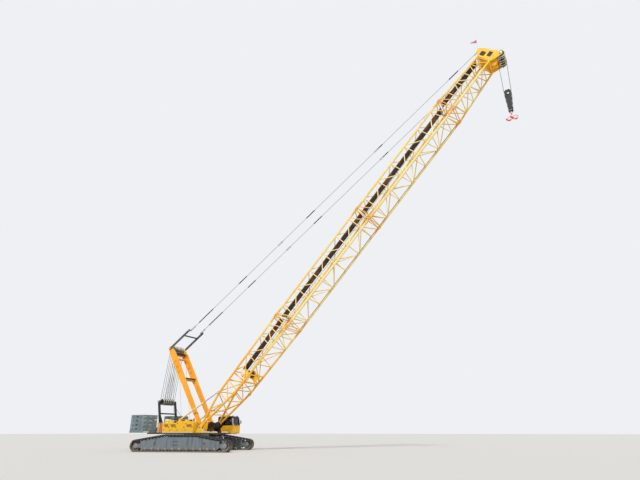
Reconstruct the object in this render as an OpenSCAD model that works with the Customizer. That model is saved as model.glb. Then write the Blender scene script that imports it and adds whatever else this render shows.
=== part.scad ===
// Crawler crane with a lattice boom held by a leaning mast and pendant stays.
// +X is the way the upper works faces, +Z is up and +Y is the operator's left.
// The origin lies on the floor, under the axis on which the upper works slews.

/* [Tracks] */
// Length of one track over its shoes
track_length = 9000; // [7800:100:10200]
// Distance between the middles of the two tracks
track_gauge = 6200; // [5600:50:7000]
// Width of one shoe
shoe_width = 1000; // [860:20:1200]
// Thickness of a shoe between the wheels and the floor
shoe_thickness = 110; // [80:5:140]
// Depth of the drive lugs inside the track
lug_depth = 60; // [40:5:80]
// Height of the level top run
track_height = 1400; // [1340:10:1405]
// Height of the track over its end wheels
track_end_height = 980; // [900:20:1080]
// Length of the level top run
top_run_length = 2800; // [2200:100:3400]
// Number of shoes on one track
shoe_count = 58; // [52:2:64]
// Turn of the undercarriage below the upper works
track_turn = 18; // [-24:1:24]

/* [Undercarriage] */
// Width of a track's side frame
side_frame_width = 800; // [700:20:850]
// Number of bottom rollers in one side frame
roller_count = 11; // [7:2:13]
// Radius of a bottom roller
roller_radius = 150; // [120:5:170]
// Half length of the middle of the carbody
carbody_half_length = 1300; // [1200:50:1500]
// Height of the top of the carbody
carbody_top = 1100; // [1060:10:1150]
// Depth of the carbody and its axle beams
carbody_depth = 560; // [460:20:620]
// Outer radius of the slewing ring
slew_ring_radius = 1150; // [1000:25:1250]
// Height of the slewing ring's fixed half
slew_ring_height = 150; // [120:5:160]

/* [Upper works] */
// Height of the underside of the slewing deck
deck_bottom = 1415; // [1410:5:1450]
// Depth of the deck's plates and beams
deck_depth = 110; // [100:5:140]
// Width of the deck
deck_width = 3000; // [2900:50:3100]
// Distance from the slewing axis back to the rear end of the deck
deck_rear = 3650; // [3500:50:3800]
// Distance from the slewing axis forward to the front end of the deck
deck_front = 2950; // [2850:25:3000]
// Height of the machinery houses over the deck
house_height = 950; // [880:10:1040]
// Width of each machinery house
house_width = 500; // [440:10:505]
// Distance from the slewing axis back to the rear of the houses
house_rear = 2800; // [2700:50:2900]
// Distance from the slewing axis to the front of the houses
house_front = 820; // [760:20:860]

/* [Counterweight] */
// Length of a counterweight slab
slab_length = 1650; // [1500:50:1800]
// Width of a counterweight slab
slab_width = 1700; // [1500:50:1750]
// Thickness of a counterweight slab
slab_thickness = 350; // [300:10:380]
// Number of slabs in one stack
slab_count = 4; // [3:1:5]
// Distance from the slewing axis back to the front of the slabs
slab_front = 3800; // [3750:25:4000]
// Distance from the middle of the crane to the inner side of a stack
stack_inner = 1250; // [1200:25:1400]
// Thickness of the counterweight tray
tray_thickness = 150; // [130:10:180]

/* [Cab] */
// Length of the cab
cab_length = 1850; // [1750:25:1950]
// Width of the cab
cab_width = 980; // [900:20:1020]
// Height of the cab
cab_height = 1480; // [1440:10:1540]
// Distance from the middle of the crane to the cab's inner wall
cab_inner = 1420; // [1400:10:1480]
// Thickness of the cab's walls
cab_wall = 50; // [40:2:60]
// Thickness of the window glass
glass_thickness = 10; // [6:1:14]

/* [Boom] */
// Distance from the slewing axis to the boom's foot pin
boom_foot_x = 1390; // [1340:10:1440]
// Height of the boom's foot pin
boom_foot_z = 2020; // [1990:10:2080]
// Angle of the boom over level ground
boom_angle = 47; // [44:1:50]
// Length of each of the three long boom sections
section_length = 12000; // [11000:250:12500]
// Distance between the chord centres across the boom
boom_width = 2300; // [2200:20:2360]
// Distance between the upper and the lower chord centres
boom_depth = 1680; // [1560:20:1760]
// Radius of a chord tube
chord_radius = 95; // [80:5:105]
// Radius of a lacing tube
lacing_radius = 42; // [34:2:50]
// Length of the head section up to the head shaft
head_length = 6300; // [6000:100:6600]
// Radius of a head sheave
head_sheave_radius = 360; // [320:10:400]

/* [Mast and stays] */
// Distance from the slewing axis to the mast's foot pin
mast_foot_x = 950; // [920:10:980]
// Height of the mast's foot pin
mast_foot_z = 2350; // [2300:10:2400]
// Angle of the mast over level ground
mast_angle = 122.3; // [118:0.1:126]
// Length of the mast from foot pin to head shaft
mast_length = 8250; // [7900:50:8600]
// Distance between the middles of the mast's legs
mast_width = 1700; // [1640:20:1760]
// Thickness of a mast leg
mast_leg = 230; // [200:10:240]
// Radius of a mast head sheave
mast_sheave_radius = 300; // [260:10:320]
// Distance between the two pendant stays
stay_spacing = 1500; // [1460:20:1520]
// Radius of a pendant stay
stay_radius = 30; // [24:2:36]

/* [Hook] */
// Drop from the head shaft to the sheaves in the hook block
hook_drop = 3900; // [3400:50:4300]
// Radius of the hook block's sheaves
block_sheave_radius = 300; // [280:10:320]
// Radius of the hoist rope
hoist_rope_radius = 14; // [10:1:16]

/* [Hidden] */

// Clearances
seat_gap = 0.3;
swing_gap = 6;
round_faces = 48;
tube_faces = 32;
lacing_faces = 8;

// Colours
crane_yellow = [0.96, 0.74, 0.12];
mast_orange = [0.94, 0.62, 0.12];
ballast_grey = [0.46, 0.50, 0.51];
track_grey = [0.40, 0.42, 0.42];
steel_grey = [0.58, 0.60, 0.61];
dark_grey = [0.16, 0.17, 0.18];
rope_grey = [0.30, 0.30, 0.31];
grating_brown = [0.28, 0.20, 0.13];
hook_red = [0.80, 0.24, 0.10];
glass_blue = [0.16, 0.21, 0.28];

right_side = -1;
left_side = 1;

// Places a body's own frame, X along it, at a pin and an angle in the crane's plane
module in_plane(x, z, angle) {
    translate([x, 0, z]) rotate([0, -angle, 0]) children();
}

// A round bar between two points
module bar(from, to, radius, faces = lacing_faces) {
    run = to - from;
    length = norm(run);
    translate(from)
        rotate([0, acos(run.z / length), atan2(run.y, run.x)])
            cylinder(h = length, r = radius, $fn = faces);
}

// A cylinder along Y, centred on the crane's plane or between two Y values
module cross_pin(x, z, radius, low, high, faces = round_faces) {
    translate([x, low, z]) rotate([-90, 0, 0]) cylinder(h = high - low, r = radius, $fn = faces);
}

// A flat plate in the XZ plane between two Y values
module side_plate(outline, low, high) {
    translate([0, high, 0]) rotate([90, 0, 0]) linear_extrude(high - low) polygon(outline);
}

// A box by its two corners
module block(low, high) {
    translate(low) cube(high - low);
}

// A grooved rope sheave with a lightened web, its shaft along Y
groove_depth = 30;
module sheave(radius, width, bore) {
    rim = radius * 0.78;
    hub = bore + 45;
    web = width * 0.32;
    rotate([90, 0, 0]) rotate_extrude($fn = round_faces)
        polygon([[bore, -width / 2], [hub, -width / 2], [hub + 8, -web / 2], [rim, -web / 2],
            [rim + 10, -width / 2], [radius, -width / 2], [radius - groove_depth, -width * 0.18],
            [radius - groove_depth, width * 0.18], [radius, width / 2], [rim + 10, width / 2],
            [rim, web / 2], [hub + 8, web / 2], [hub, width / 2], [bore, width / 2]]);
}

// A row of sheaves spaced evenly across the crane
module sheave_row(x, z, radius, width, bore, count, span) {
    pitch = count > 1 ? span / (count - 1) : 0;
    for (i = [0 : count - 1])
        translate([x, -span / 2 + i * pitch, z]) sheave(radius, width, bore);
}

// Belt round circles [x, z, radius] taken anticlockwise
// The outward normal of the straight run from one circle to the next
function run_normal(a, b) =
    let (step = [b.x - a.x, b.y - a.y], length = norm(step), u = step / length,
        k = (a.z - b.z) / length, s = sqrt(1 - k * k))
    [u.x * k + u.y * s, u.y * k - u.x * s];
function run_length(a, b) = sqrt(pow(norm([b.x - a.x, b.y - a.y]), 2) - pow(a.z - b.z, 2));

// One row for each circle: x, z, radius, first angle, turn, arc length, straight length, normal
function belt_rows(circles) = [for (i = [0 : len(circles) - 1])
    let (here = circles[i], before = circles[(i + len(circles) - 1) % len(circles)],
        after = circles[(i + 1) % len(circles)], n0 = run_normal(before, here), n1 = run_normal(here, after),
        first = atan2(n0.y, n0.x), turn = (atan2(n1.y, n1.x) - first + 720) % 360)
    [here.x, here.y, here.z, first, turn, here.z * turn * PI / 180, run_length(here, after), n1]];
function belt_length(rows, i = 0) = i == len(rows) ? 0 : rows[i][5] + rows[i][6] + belt_length(rows, i + 1);

// The point at a distance along the belt, moved outwards by an offset
function belt_point(rows, s, off, i = 0) =
    let (row = rows[i], arc = row[5], run = row[6])
    s < arc
        ? let (a = row[3] + row[4] * s / arc) [row[0], row[1]] + (row[2] + off) * [cos(a), sin(a)]
        : s < arc + run || i == len(rows) - 1
            ? [row[0], row[1]] + (row[2] + off) * row[7] + (s - arc) * [-row[7].y, row[7].x]
            : belt_point(rows, s - arc - run, off, i + 1);

// Track: the belt lies on the inner face of the shoes
end_radius = track_end_height / 2 - shoe_thickness;
end_x = track_length / 2 - track_end_height / 2;
top_corner_radius = 260;
track_circles = [
    [-end_x, track_end_height / 2, end_radius],
    [end_x, track_end_height / 2, end_radius],
    [top_run_length / 2, track_height - shoe_thickness - top_corner_radius, top_corner_radius],
    [-top_run_length / 2, track_height - shoe_thickness - top_corner_radius, top_corner_radius]];
track_rows = belt_rows(track_circles);
track_loop = belt_length(track_rows);
shoe_pitch = track_loop / shoe_count;
shoe_gap = 36;
link_thickness = shoe_thickness * 0.45;
inner_steps = 2;
// The belt's straight steps cut inside its arcs by this much at the end wheels
wheel_radius = end_radius * cos(90 * shoe_pitch / inner_steps / (PI * end_radius)) - seat_gap;
lug_length = shoe_pitch * 0.3;
lug_width = 130;
rail_inner = lug_width / 2 + 20;
rail_outer = 230;
wheel_pocket = rail_outer + 30;
cheek = 90;

module track_outline() {
    shoe_profile = [[0, link_thickness], [shoe_gap / 2, link_thickness], [shoe_gap / 2, shoe_thickness],
        [shoe_pitch - shoe_gap / 2, shoe_thickness], [shoe_pitch - shoe_gap / 2, link_thickness]];
    difference() {
        polygon([for (k = [0 : shoe_count - 1], p = shoe_profile)
            belt_point(track_rows, k * shoe_pitch + p.x, p.y)]);
        polygon([for (k = [0 : shoe_count * inner_steps - 1])
            belt_point(track_rows, k * shoe_pitch / inner_steps, 0)]);
    }
}

module track_lugs() {
    seat = 25;
    for (k = [0 : shoe_count - 1]) {
        middle = (k + 0.5) * shoe_pitch;
        polygon([
            belt_point(track_rows, middle - lug_length / 2, seat),
            belt_point(track_rows, middle + lug_length / 2, seat),
            belt_point(track_rows, middle + lug_length / 4, -lug_depth),
            belt_point(track_rows, middle - lug_length / 4, -lug_depth)]);
    }
}

// Stands a track outline up and centres it on its width
module across(width) {
    translate([0, width / 2, 0]) rotate([90, 0, 0]) linear_extrude(width) children();
}

// Moves a track's pieces to one side of the turned undercarriage
module at_track(side) {
    rotate([0, 0, track_turn]) translate([0, side * track_gauge / 2, 0]) children();
}

module track(side) {
    color(track_grey) at_track(side) union() {
        across(shoe_width) track_outline();
        across(lug_width) track_lugs();
    }
}
module track_right() { track(right_side); }
module track_left() { track(left_side); }

// Side frame: a box whose outline follows the track, open below for the rollers
frame_gap = lug_depth + 25;
roller_z = shoe_thickness + roller_radius + seat_gap;
frame_bottom = roller_z - 60;
frame_top = track_height - shoe_thickness - frame_gap;
frame_end = end_x - wheel_radius - lug_depth - 20;
roller_end = frame_end - 420;
wheel_z = track_end_height / 2;
run_slope = (track_height - shoe_thickness - wheel_z - end_radius) / (end_x - top_run_length / 2);
frame_shoulder = frame_top - (frame_end - top_run_length / 2 - 60) * run_slope;
nose_half = 150;
nose_end = end_x + 150;

frame_outline = [
    [-frame_end, frame_bottom + 120], [-frame_end + 160, frame_bottom], [frame_end - 160, frame_bottom],
    [frame_end, frame_bottom + 120], [frame_end, frame_shoulder], [top_run_length / 2 + 60, frame_top],
    [-top_run_length / 2 - 60, frame_top], [-frame_end, frame_shoulder]];
nose_outline = [
    [frame_end - 500, wheel_z - nose_half], [nose_end - 60, wheel_z - nose_half],
    [nose_end, wheel_z - nose_half + 60], [nose_end, wheel_z + nose_half - 60],
    [nose_end - 60, wheel_z + nose_half], [frame_end - 500, wheel_z + nose_half]];
access_hole = 95;
access_hole_x = 2250;
rib_x = [-2300, -1150, 300, 1500];
rib_thickness = 30;
rib_depth = 24;
cheek_y = wheel_pocket + cheek;

module side_frame(side) {
    color(track_grey) at_track(side) union() {
        difference() {
            across(side_frame_width) polygon(frame_outline);
            // Slot for the bottom rollers
            block([-roller_end - 330, -wheel_pocket, 0],
                [roller_end + 330, wheel_pocket, roller_z + roller_radius + 30]);
            // Room for the wheels at both ends
            for (end = [-1, 1])
                cross_pin(end * end_x, wheel_z, wheel_radius + lug_depth, -wheel_pocket, wheel_pocket);
            // Round access holes through the outer web
            for (end = [-1, 1])
                cross_pin(end * access_hole_x, wheel_z + 160, access_hole,
                    side * side_frame_width / 2 - 60, side * side_frame_width / 2 + 60);
        }
        // Cheeks that carry the wheel at each end
        for (end = [-1, 1], wall = [-1, 1])
            side_plate([for (p = nose_outline) [end * p.x, p.y]],
                wall > 0 ? wheel_pocket : -cheek_y, wall > 0 ? cheek_y : -wheel_pocket);
        // Stiffening ribs on the outer web
        for (x = rib_x)
            block([x - rib_thickness / 2, side > 0 ? side_frame_width / 2 : -side_frame_width / 2 - rib_depth,
                    frame_bottom + 90],
                [x + rib_thickness / 2, side > 0 ? side_frame_width / 2 + rib_depth : -side_frame_width / 2,
                    frame_top - 330]);
        // Skids under the level top run
        for (wall = [-1, 1])
            block([-top_run_length / 2 + 200, wall * 160 - 40, frame_top - 20],
                [top_run_length / 2 - 200, wall * 160 + 40, track_height - shoe_thickness - seat_gap]);
    }
}
module side_frame_right() { side_frame(right_side); }
module side_frame_left() { side_frame(left_side); }

// Bottom rollers: two rims either side of the lugs, on pins held by the side frame
module roller() {
    rotate([90, 0, 0]) rotate_extrude($fn = round_faces)
        polygon([[0, -wheel_pocket], [55, -wheel_pocket], [55, -rail_outer], [roller_radius, -rail_outer],
            [roller_radius, -rail_inner], [roller_radius - lug_depth - 15, -rail_inner],
            [roller_radius - lug_depth - 15, rail_inner], [roller_radius, rail_inner],
            [roller_radius, rail_outer], [55, rail_outer], [55, wheel_pocket], [0, wheel_pocket]]);
}
module rollers(side) {
    color(steel_grey) at_track(side)
        for (i = [0 : roller_count - 1])
            translate([-roller_end + i * 2 * roller_end / (roller_count - 1), 0, roller_z]) roller();
}
module rollers_right() { rollers(right_side); }
module rollers_left() { rollers(left_side); }

// End wheels: a dished rim with a groove for the lugs
module end_wheel(rim_radius) {
    groove = rim_radius - lug_depth - 20;
    rotate([90, 0, 0]) rotate_extrude($fn = round_faces)
        polygon([[0, -wheel_pocket], [130, -wheel_pocket], [130, -rail_outer + 70],
            [rim_radius - 90, -rail_outer + 50],
            [rim_radius - 70, -rail_outer], [rim_radius, -rail_outer], [rim_radius, -rail_inner],
            [groove, -rail_inner], [groove, rail_inner], [rim_radius, rail_inner], [rim_radius, rail_outer],
            [rim_radius - 70, rail_outer], [rim_radius - 90, rail_outer - 50], [130, rail_outer - 70],
            [130, wheel_pocket], [0, wheel_pocket]]);
}
module idler(side) {
    color(steel_grey) at_track(side) translate([end_x, 0, wheel_z]) end_wheel(wheel_radius);
}
module idler_right() { idler(right_side); }
module idler_left() { idler(left_side); }

// Sprocket: scalloped rims, with the final drive on the inner side
scallop_count = 14;
module sprocket(side) {
    inner = -side;
    color(dark_grey) at_track(side) translate([-end_x, 0, wheel_z]) union() {
        difference() {
            end_wheel(wheel_radius);
            for (i = [0 : scallop_count - 1])
                rotate([0, i * 360 / scallop_count, 0])
                    cross_pin(wheel_radius - 45, 0, 22, -wheel_pocket - 10, wheel_pocket + 10, 12);
        }
        // Final drive housing and its motor
        cross_pin(0, 0, 240, inner > 0 ? cheek_y : -cheek_y - 240, inner > 0 ? cheek_y + 240 : -cheek_y);
        cross_pin(0, 0, 150, inner > 0 ? cheek_y + 200 : -cheek_y - 420,
            inner > 0 ? cheek_y + 420 : -cheek_y - 200);
    }
}
module sprocket_right() { sprocket(right_side); }
module sprocket_left() { sprocket(left_side); }

// Carbody: a middle box with two tapering axle beams that end on the side frames
beam_x = 1050;
beam_root = 1150;
beam_tip = 760;
frame_inner_y = track_gauge / 2 - side_frame_width / 2;
carbody_bottom = carbody_top - carbody_depth;
ring_seat = deck_bottom - slew_ring_height - seat_gap;
swivel_bore = 260;
tow_bore = 40;
tow_reach = carbody_half_length + 330;
tow_low = carbody_bottom + 80;
tow_height = 240;
tow_plate = 60;

function beam_outline(side) = [
    [-beam_root, 0], [beam_root, 0], [beam_x + beam_tip / 2, side * frame_inner_y],
    [beam_x - beam_tip / 2, side * frame_inner_y], [beam_x - beam_tip / 2 - 100, side * carbody_half_length * 1.15],
    [-beam_x + beam_tip / 2 + 100, side * carbody_half_length * 1.15],
    [-beam_x + beam_tip / 2, side * frame_inner_y], [-beam_x - beam_tip / 2, side * frame_inner_y]];

module carbody() {
    color(track_grey) rotate([0, 0, track_turn]) difference() {
        union() {
            translate([0, 0, carbody_bottom]) linear_extrude(carbody_depth) union() {
                square(2 * carbody_half_length, center = true);
                polygon(beam_outline(right_side));
                polygon(beam_outline(left_side));
            }
            // Seat for the slewing ring
            translate([0, 0, carbody_top - 20]) cylinder(h = ring_seat - seat_gap - carbody_top + 20,
                r = slew_ring_radius + 40, $fn = 64);
            // Tow lugs at the front and the rear, each two level plates
            for (end = [-1, 1], z = [tow_low, tow_low + tow_height - tow_plate])
                translate([0, 0, z]) linear_extrude(tow_plate) polygon([
                    [end * (carbody_half_length - 20), -230], [end * (tow_reach - 70), -130],
                        [end * tow_reach, -60],
                    [end * tow_reach, 60], [end * (tow_reach - 70), 130], [end * (carbody_half_length - 20), 230]]);
        }
        // Bore for the rotary joint
        translate([0, 0, carbody_bottom - 10]) cylinder(h = ring_seat, r = swivel_bore, $fn = round_faces);
        for (end = [-1, 1])
            translate([end * (tow_reach - 120), 0, tow_low - 10])
                cylinder(h = tow_height + 20, r = tow_bore, $fn = tube_faces);
    }
}

// Jacking cylinders folded against the corners of the carbody
jack_x = 1980;
jack_y = 1650;
jack_radius = 110;
bracket_half = 30;
jack_bracket_x = beam_root + (beam_x + beam_tip / 2 - beam_root) * (jack_y + bracket_half) / frame_inner_y + seat_gap;
module jack_cylinder() {
    translate([jack_x, jack_y, carbody_bottom]) {
        translate([0, 0, 60]) cylinder(h = 560, r = jack_radius, $fn = tube_faces);
        translate([0, 0, -130]) cylinder(h = 220, r = 62, $fn = tube_faces);
        translate([0, 0, -170]) cylinder(h = 45, r = 150, $fn = tube_faces);
        // Bracket back to the axle beam
        block([jack_bracket_x - jack_x, -bracket_half, 120], [0, bracket_half, 420]);
    }
}
module jack_pair() {
    jack_cylinder();
    mirror([0, 1, 0]) jack_cylinder();
}
module jack_cylinders() {
    color(steel_grey) rotate([0, 0, track_turn]) union() {
        jack_pair();
        rotate([0, 0, 180]) jack_pair();
    }
}

// Slewing ring: the fixed outer race on the carbody
ring_inner = slew_ring_radius - 200;
module slew_ring() {
    color(steel_grey) translate([0, 0, ring_seat]) difference() {
        cylinder(h = slew_ring_height, r = slew_ring_radius, $fn = 64);
        translate([0, 0, -10]) cylinder(h = slew_ring_height + 20, r = ring_inner, $fn = 64);
    }
}

// Deck: plate and beams, with the brackets of the boom, the mast and the cab
deck_top = deck_bottom + deck_depth;
half_deck = deck_width / 2;
foot_y = boom_width / 2;
foot_lug = 150;
foot_gap = 10;
foot_pin = 70;
bracket = 60;
mast_y = mast_width / 2;
mast_pin = 60;
cab_front_x = 3110;
cab_rear_x = cab_front_x - cab_length;
cab_outer = cab_inner + cab_width;
cab_floor = deck_bottom + 40;
tray_beam_y = 800;
brace_base_x = -920;
brace_y = boom_width / 2 + chord_radius + 65;
brace_wall = 100;
brace_base_z = deck_top + house_height + 190;

deck_outline = [
    [-deck_rear, -half_deck + 300], [-house_rear - 100, -half_deck + 300], [-house_rear - 100, -half_deck],
    [house_front + 500, -half_deck], [deck_front, -half_deck + 250], [deck_front, -700], [deck_front - 500, -560],
    [deck_front - 500, 560], [deck_front, 700], [deck_front, half_deck - 250], [cab_rear_x + 400, cab_inner - 20],
    [cab_rear_x - 60, cab_inner - 20], [cab_rear_x - 60, half_deck], [-house_rear - 100, half_deck],
    [-house_rear - 100, half_deck - 300], [-deck_rear, half_deck - 300]];

boom_bracket = [
    [boom_foot_x - 420, deck_top - 20], [boom_foot_x + 420, deck_top - 20], [boom_foot_x + 330, deck_top + 240],
    [boom_foot_x + 150, boom_foot_z + 60], [boom_foot_x + 80, boom_foot_z + 150],
    [boom_foot_x - 80, boom_foot_z + 150], [boom_foot_x - 150, boom_foot_z + 60]];
mast_bracket = [
    [mast_foot_x - 380, deck_top - 20], [mast_foot_x + 300, deck_top - 20],
    [mast_foot_x + 110, mast_foot_z + 60], [mast_foot_x + 60, mast_foot_z + 120],
    [mast_foot_x - 60, mast_foot_z + 120], [mast_foot_x - 110, mast_foot_z + 60]];

// Rounded front toe of a deck beam
module deck_toe(low, high) {
    side_plate([[boom_foot_x + 300, deck_top - 20], [deck_front - 30, deck_top - 20],
        [deck_front - 30, deck_top + 20],
        [deck_front - 140, deck_top + 105], [deck_front - 420, deck_top + 120], [deck_front - 640, deck_top + 50],
        [deck_front - 820, deck_top + 50], [deck_front - 980, deck_top + 115], [boom_foot_x + 300, deck_top + 120]],
        low, high);
}

module deck() {
    color(crane_yellow) union() {
        difference() {
            translate([0, 0, deck_bottom]) linear_extrude(deck_depth) polygon(deck_outline);
            translate([0, 0, deck_bottom - 10]) cylinder(h = deck_depth + 20, r = swivel_bore, $fn = round_faces);
        }
        // Inner race of the slewing ring
        translate([0, 0, ring_seat + 12]) difference() {
            cylinder(h = slew_ring_height, r = ring_inner - seat_gap, $fn = 64);
            translate([0, 0, -10]) cylinder(h = slew_ring_height + 20, r = ring_inner - 160, $fn = 64);
        }
        // Paired boom foot brackets with their pins
        for (side = [-1, 1]) {
            for (wall = [-1, 1])
                side_plate(boom_bracket,
                    side * foot_y + wall * (foot_lug / 2 + foot_gap + bracket / 2) - bracket / 2,
                    side * foot_y + wall * (foot_lug / 2 + foot_gap + bracket / 2) + bracket / 2);
            cross_pin(boom_foot_x, boom_foot_z, foot_pin, side * foot_y - foot_lug / 2 - bracket - foot_gap - 30,
                side * foot_y + foot_lug / 2 + bracket + foot_gap + 30);
        }
        // Single mast foot brackets inside the mast's legs, with pins out through the legs
        for (side = [-1, 1]) {
            inner = mast_y - mast_leg / 2 - swing_gap;
            side_plate(mast_bracket, side > 0 ? inner - bracket : -inner, side > 0 ? inner : -inner + bracket);
            cross_pin(mast_foot_x, mast_foot_z, mast_pin, side > 0 ? inner - bracket - 30 : -mast_y - mast_leg / 2 - 20,
                side > 0 ? mast_y + mast_leg / 2 + 20 : -inner + bracket + 30);
        }
        // Deck beams with rounded front toes
        deck_toe(-foot_y + 260, -foot_y + 560);
        deck_toe(foot_y - 560, foot_y - 260);
        // Rear beams under the counterweight tray
        for (side = [-1, 1])
            block([-slab_front - slab_length + 200, side * tray_beam_y - 150, deck_bottom],
                [-deck_rear + 60, side * tray_beam_y + 150, deck_top]);
        // Outrigger beams that carry the cab
        for (x = [cab_rear_x + 150, cab_front_x - 450])
            block([x, half_deck - 420, deck_bottom], [x + 180, cab_outer - 80, cab_floor - seat_gap]);
    }
}

// Machinery houses: a lower rear part and a higher front part with door panels and grilles
house_step_x = -1120;
house_drop = 110;
panel_depth = 14;
grille_slats = 7;
// Stations of the grooves between door panels
door_grooves = [-2765, -1970, -1095, -140];

function house_outline(top) = [
    [-house_rear, deck_top + seat_gap], [house_front, deck_top + seat_gap], [house_front, top - 60],
    [house_front - 60, top], [house_step_x, top], [house_step_x, top - house_drop],
        [-house_rear + 60, top - house_drop],
    [-house_rear, top - house_drop - 60]];

module house_body(side) {
    outer = half_deck - 10;
    inner = outer - house_width;
    top = deck_top + house_height;
    difference() {
        side_plate(house_outline(top), side > 0 ? inner : -outer, side > 0 ? outer : -inner);
        // Grooves between the door panels
        for (x = door_grooves)
            block([x - 10, side > 0 ? outer - panel_depth : -outer - 10, deck_top + 70],
                [x + 10, side > 0 ? outer + 10 : -outer + panel_depth, top - house_drop - 70]);
        // Grille slots in the rear wall
        for (i = [0 : grille_slats - 1])
            block([-house_rear - 10, side > 0 ? inner + 90 : -outer + 90, deck_top + 180 + i * 90],
                [-house_rear + 50, side > 0 ? outer - 90 : -inner - 90, deck_top + 225 + i * 90]);
    }
}
brace_pin = 32;
module house_roof(side) {
    outer = half_deck - 10;
    top = deck_top + house_height;
    // Exhaust stack and air cleaner stand on the left house, the fuel filler on the right
    if (side > 0) {
        translate([-1500, outer - 300, top - house_drop - 10]) cylinder(h = 420, r = 75, $fn = tube_faces);
        translate([-1900, outer - 270, top - house_drop - 10]) cylinder(h = 260, r = 130, $fn = tube_faces);
    } else {
        block([-500, -outer + 120, top - 10], [150, -outer + 440, top + 70]);
        translate([480, -outer + 300, top - 10]) cylinder(h = 60, r = 60, $fn = tube_faces);
    }
    // Backstop bracket
    for (wall = [-1, 1])
        side_plate([[brace_base_x - 170, top - 20], [brace_base_x + 170, top - 20],
            [brace_base_x + 60, brace_base_z + 60],
            [brace_base_x - 60, brace_base_z + 60]],
            side * brace_y + wall * brace_wall - 20, side * brace_y + wall * brace_wall + 20);
    cross_pin(brace_base_x, brace_base_z, brace_pin, side * brace_y - brace_wall - 20,
        side * brace_y + brace_wall + 20);
}
module house(side) {
    color(crane_yellow) union() {
        house_body(side);
        house_roof(side);
    }
}
module house_right() { house(right_side); }
module house_left() { house(left_side); }

// Engine: one plain block between the houses, at the rear
module engine() {
    color(dark_grey)
        block([-house_rear + 100, -600, deck_top + seat_gap], [-house_rear + 1150, 600, deck_top + engine_height]);
}

// Rear bail: two raking posts that hold the lower sheaves of the boom hoist
bail_foot_x = -3420;
bail_x = -4050;
bail_y = 1080;
bail_top = 4300;
bail_post = 170;
bail_shaft = 60;
bail_foot_z = deck_top + seat_gap;
function bail_at(z) = mix(bail_foot_x, bail_x, (z - bail_foot_z) / (bail_top - bail_foot_z));
bail_beam_z = [deck_top + 480, deck_top + 1700];
bail_stay_top = deck_top + 1900;
module rear_bail() {
    color(mast_orange) union() {
        for (side = [-1, 1]) {
            side_plate([[bail_foot_x - bail_post / 2, bail_foot_z], [bail_foot_x + bail_post / 2, bail_foot_z],
                [bail_x + bail_post / 2, bail_top + 60], [bail_x + 40, bail_top + 120],
                [bail_x - 40, bail_top + 120], [bail_x - bail_post / 2, bail_top + 60]],
                side * bail_y - bail_post / 2, side * bail_y + bail_post / 2);
            // Stay from each post to the deck behind the house
            side_plate([[bail_at(bail_stay_top), bail_stay_top], [bail_at(bail_stay_top - 200), bail_stay_top - 200],
                [-house_rear - 130, bail_foot_z], [-house_rear - 10, bail_foot_z]],
                side * bail_y - 50, side * bail_y + 50);
        }
        cross_pin(bail_x, bail_top, bail_shaft, -bail_y, bail_y);
        for (z = bail_beam_z)
            block([bail_at(z) - 60, -bail_y, z - 60], [bail_at(z) + 60, bail_y, z + 60]);
    }
}
sheave_fit = 0.05;
bail_sheave_count = 6;
bail_sheave_span = 1300;
module bail_sheaves() {
    color(rope_grey) sheave_row(bail_x, bail_top, mast_sheave_radius, 90, bail_shaft + sheave_fit,
        bail_sheave_count, bail_sheave_span);
}

// Counterweight: a tray on the rear of the deck and a stack of slabs at each side
tray_top = deck_top + seat_gap + tray_thickness;
slab_gap = 12;
module counterweight_tray() {
    color(ballast_grey) union() {
        block([-slab_front - slab_length, -stack_inner - slab_width, deck_top + seat_gap],
            [-slab_front + 60, stack_inner + slab_width, tray_top]);
        block([-slab_front - slab_length + 120, -stack_inner + 30, tray_top - 10],
            [-slab_front - 300, stack_inner - 30, tray_top + 330]);
        // Seat on the deck's rear beam
        block([-slab_front, -half_deck + 320, deck_top + seat_gap],
            [bail_at(tray_top) - bail_post / 2 - 20, half_deck - 320, tray_top]);
    }
}
module slab(side, level) {
    low = tray_top + seat_gap + level * slab_thickness;
    inner = side * stack_inner;
    outer = side * (stack_inner + slab_width);
    near = min(inner, outer);
    far = max(inner, outer);
    rear = -slab_front - slab_length;
    top = low + slab_thickness - slab_gap;
    edge = 35;
    difference() {
        union() {
            translate([0, 0, low]) linear_extrude(slab_thickness - slab_gap)
                polygon([[rear + edge, near], [-slab_front - edge, near], [-slab_front, near + edge],
                    [-slab_front, far - edge], [-slab_front - edge, far], [rear + edge, far],
                    [rear, far - edge], [rear, near + edge]]);
            // Dowel blocks on which the next slab rests
            if (level < slab_count - 1)
                for (x = [rear + 250, -slab_front - 250])
                    block([x - 90, (near + far) / 2 - 90, top - 10],
                        [x + 90, (near + far) / 2 + 90, low + slab_thickness]);
        }
        // Lifting pockets in the outer side and the front
        block([(rear - slab_front) / 2 - 130, side > 0 ? far - 110 : near - 10, low + 110],
            [(rear - slab_front) / 2 + 130, side > 0 ? far + 10 : near + 110, low + 230]);
        block([-slab_front - 110, (near + far) / 2 - 110, low + 110],
            [-slab_front + 10, (near + far) / 2 + 110, low + 230]);
    }
}
module counterweight(side) {
    color(ballast_grey) for (level = [0 : slab_count - 1]) slab(side, level);
}
module counterweight_right() { counterweight(right_side); }
module counterweight_left() { counterweight(left_side); }

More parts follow.
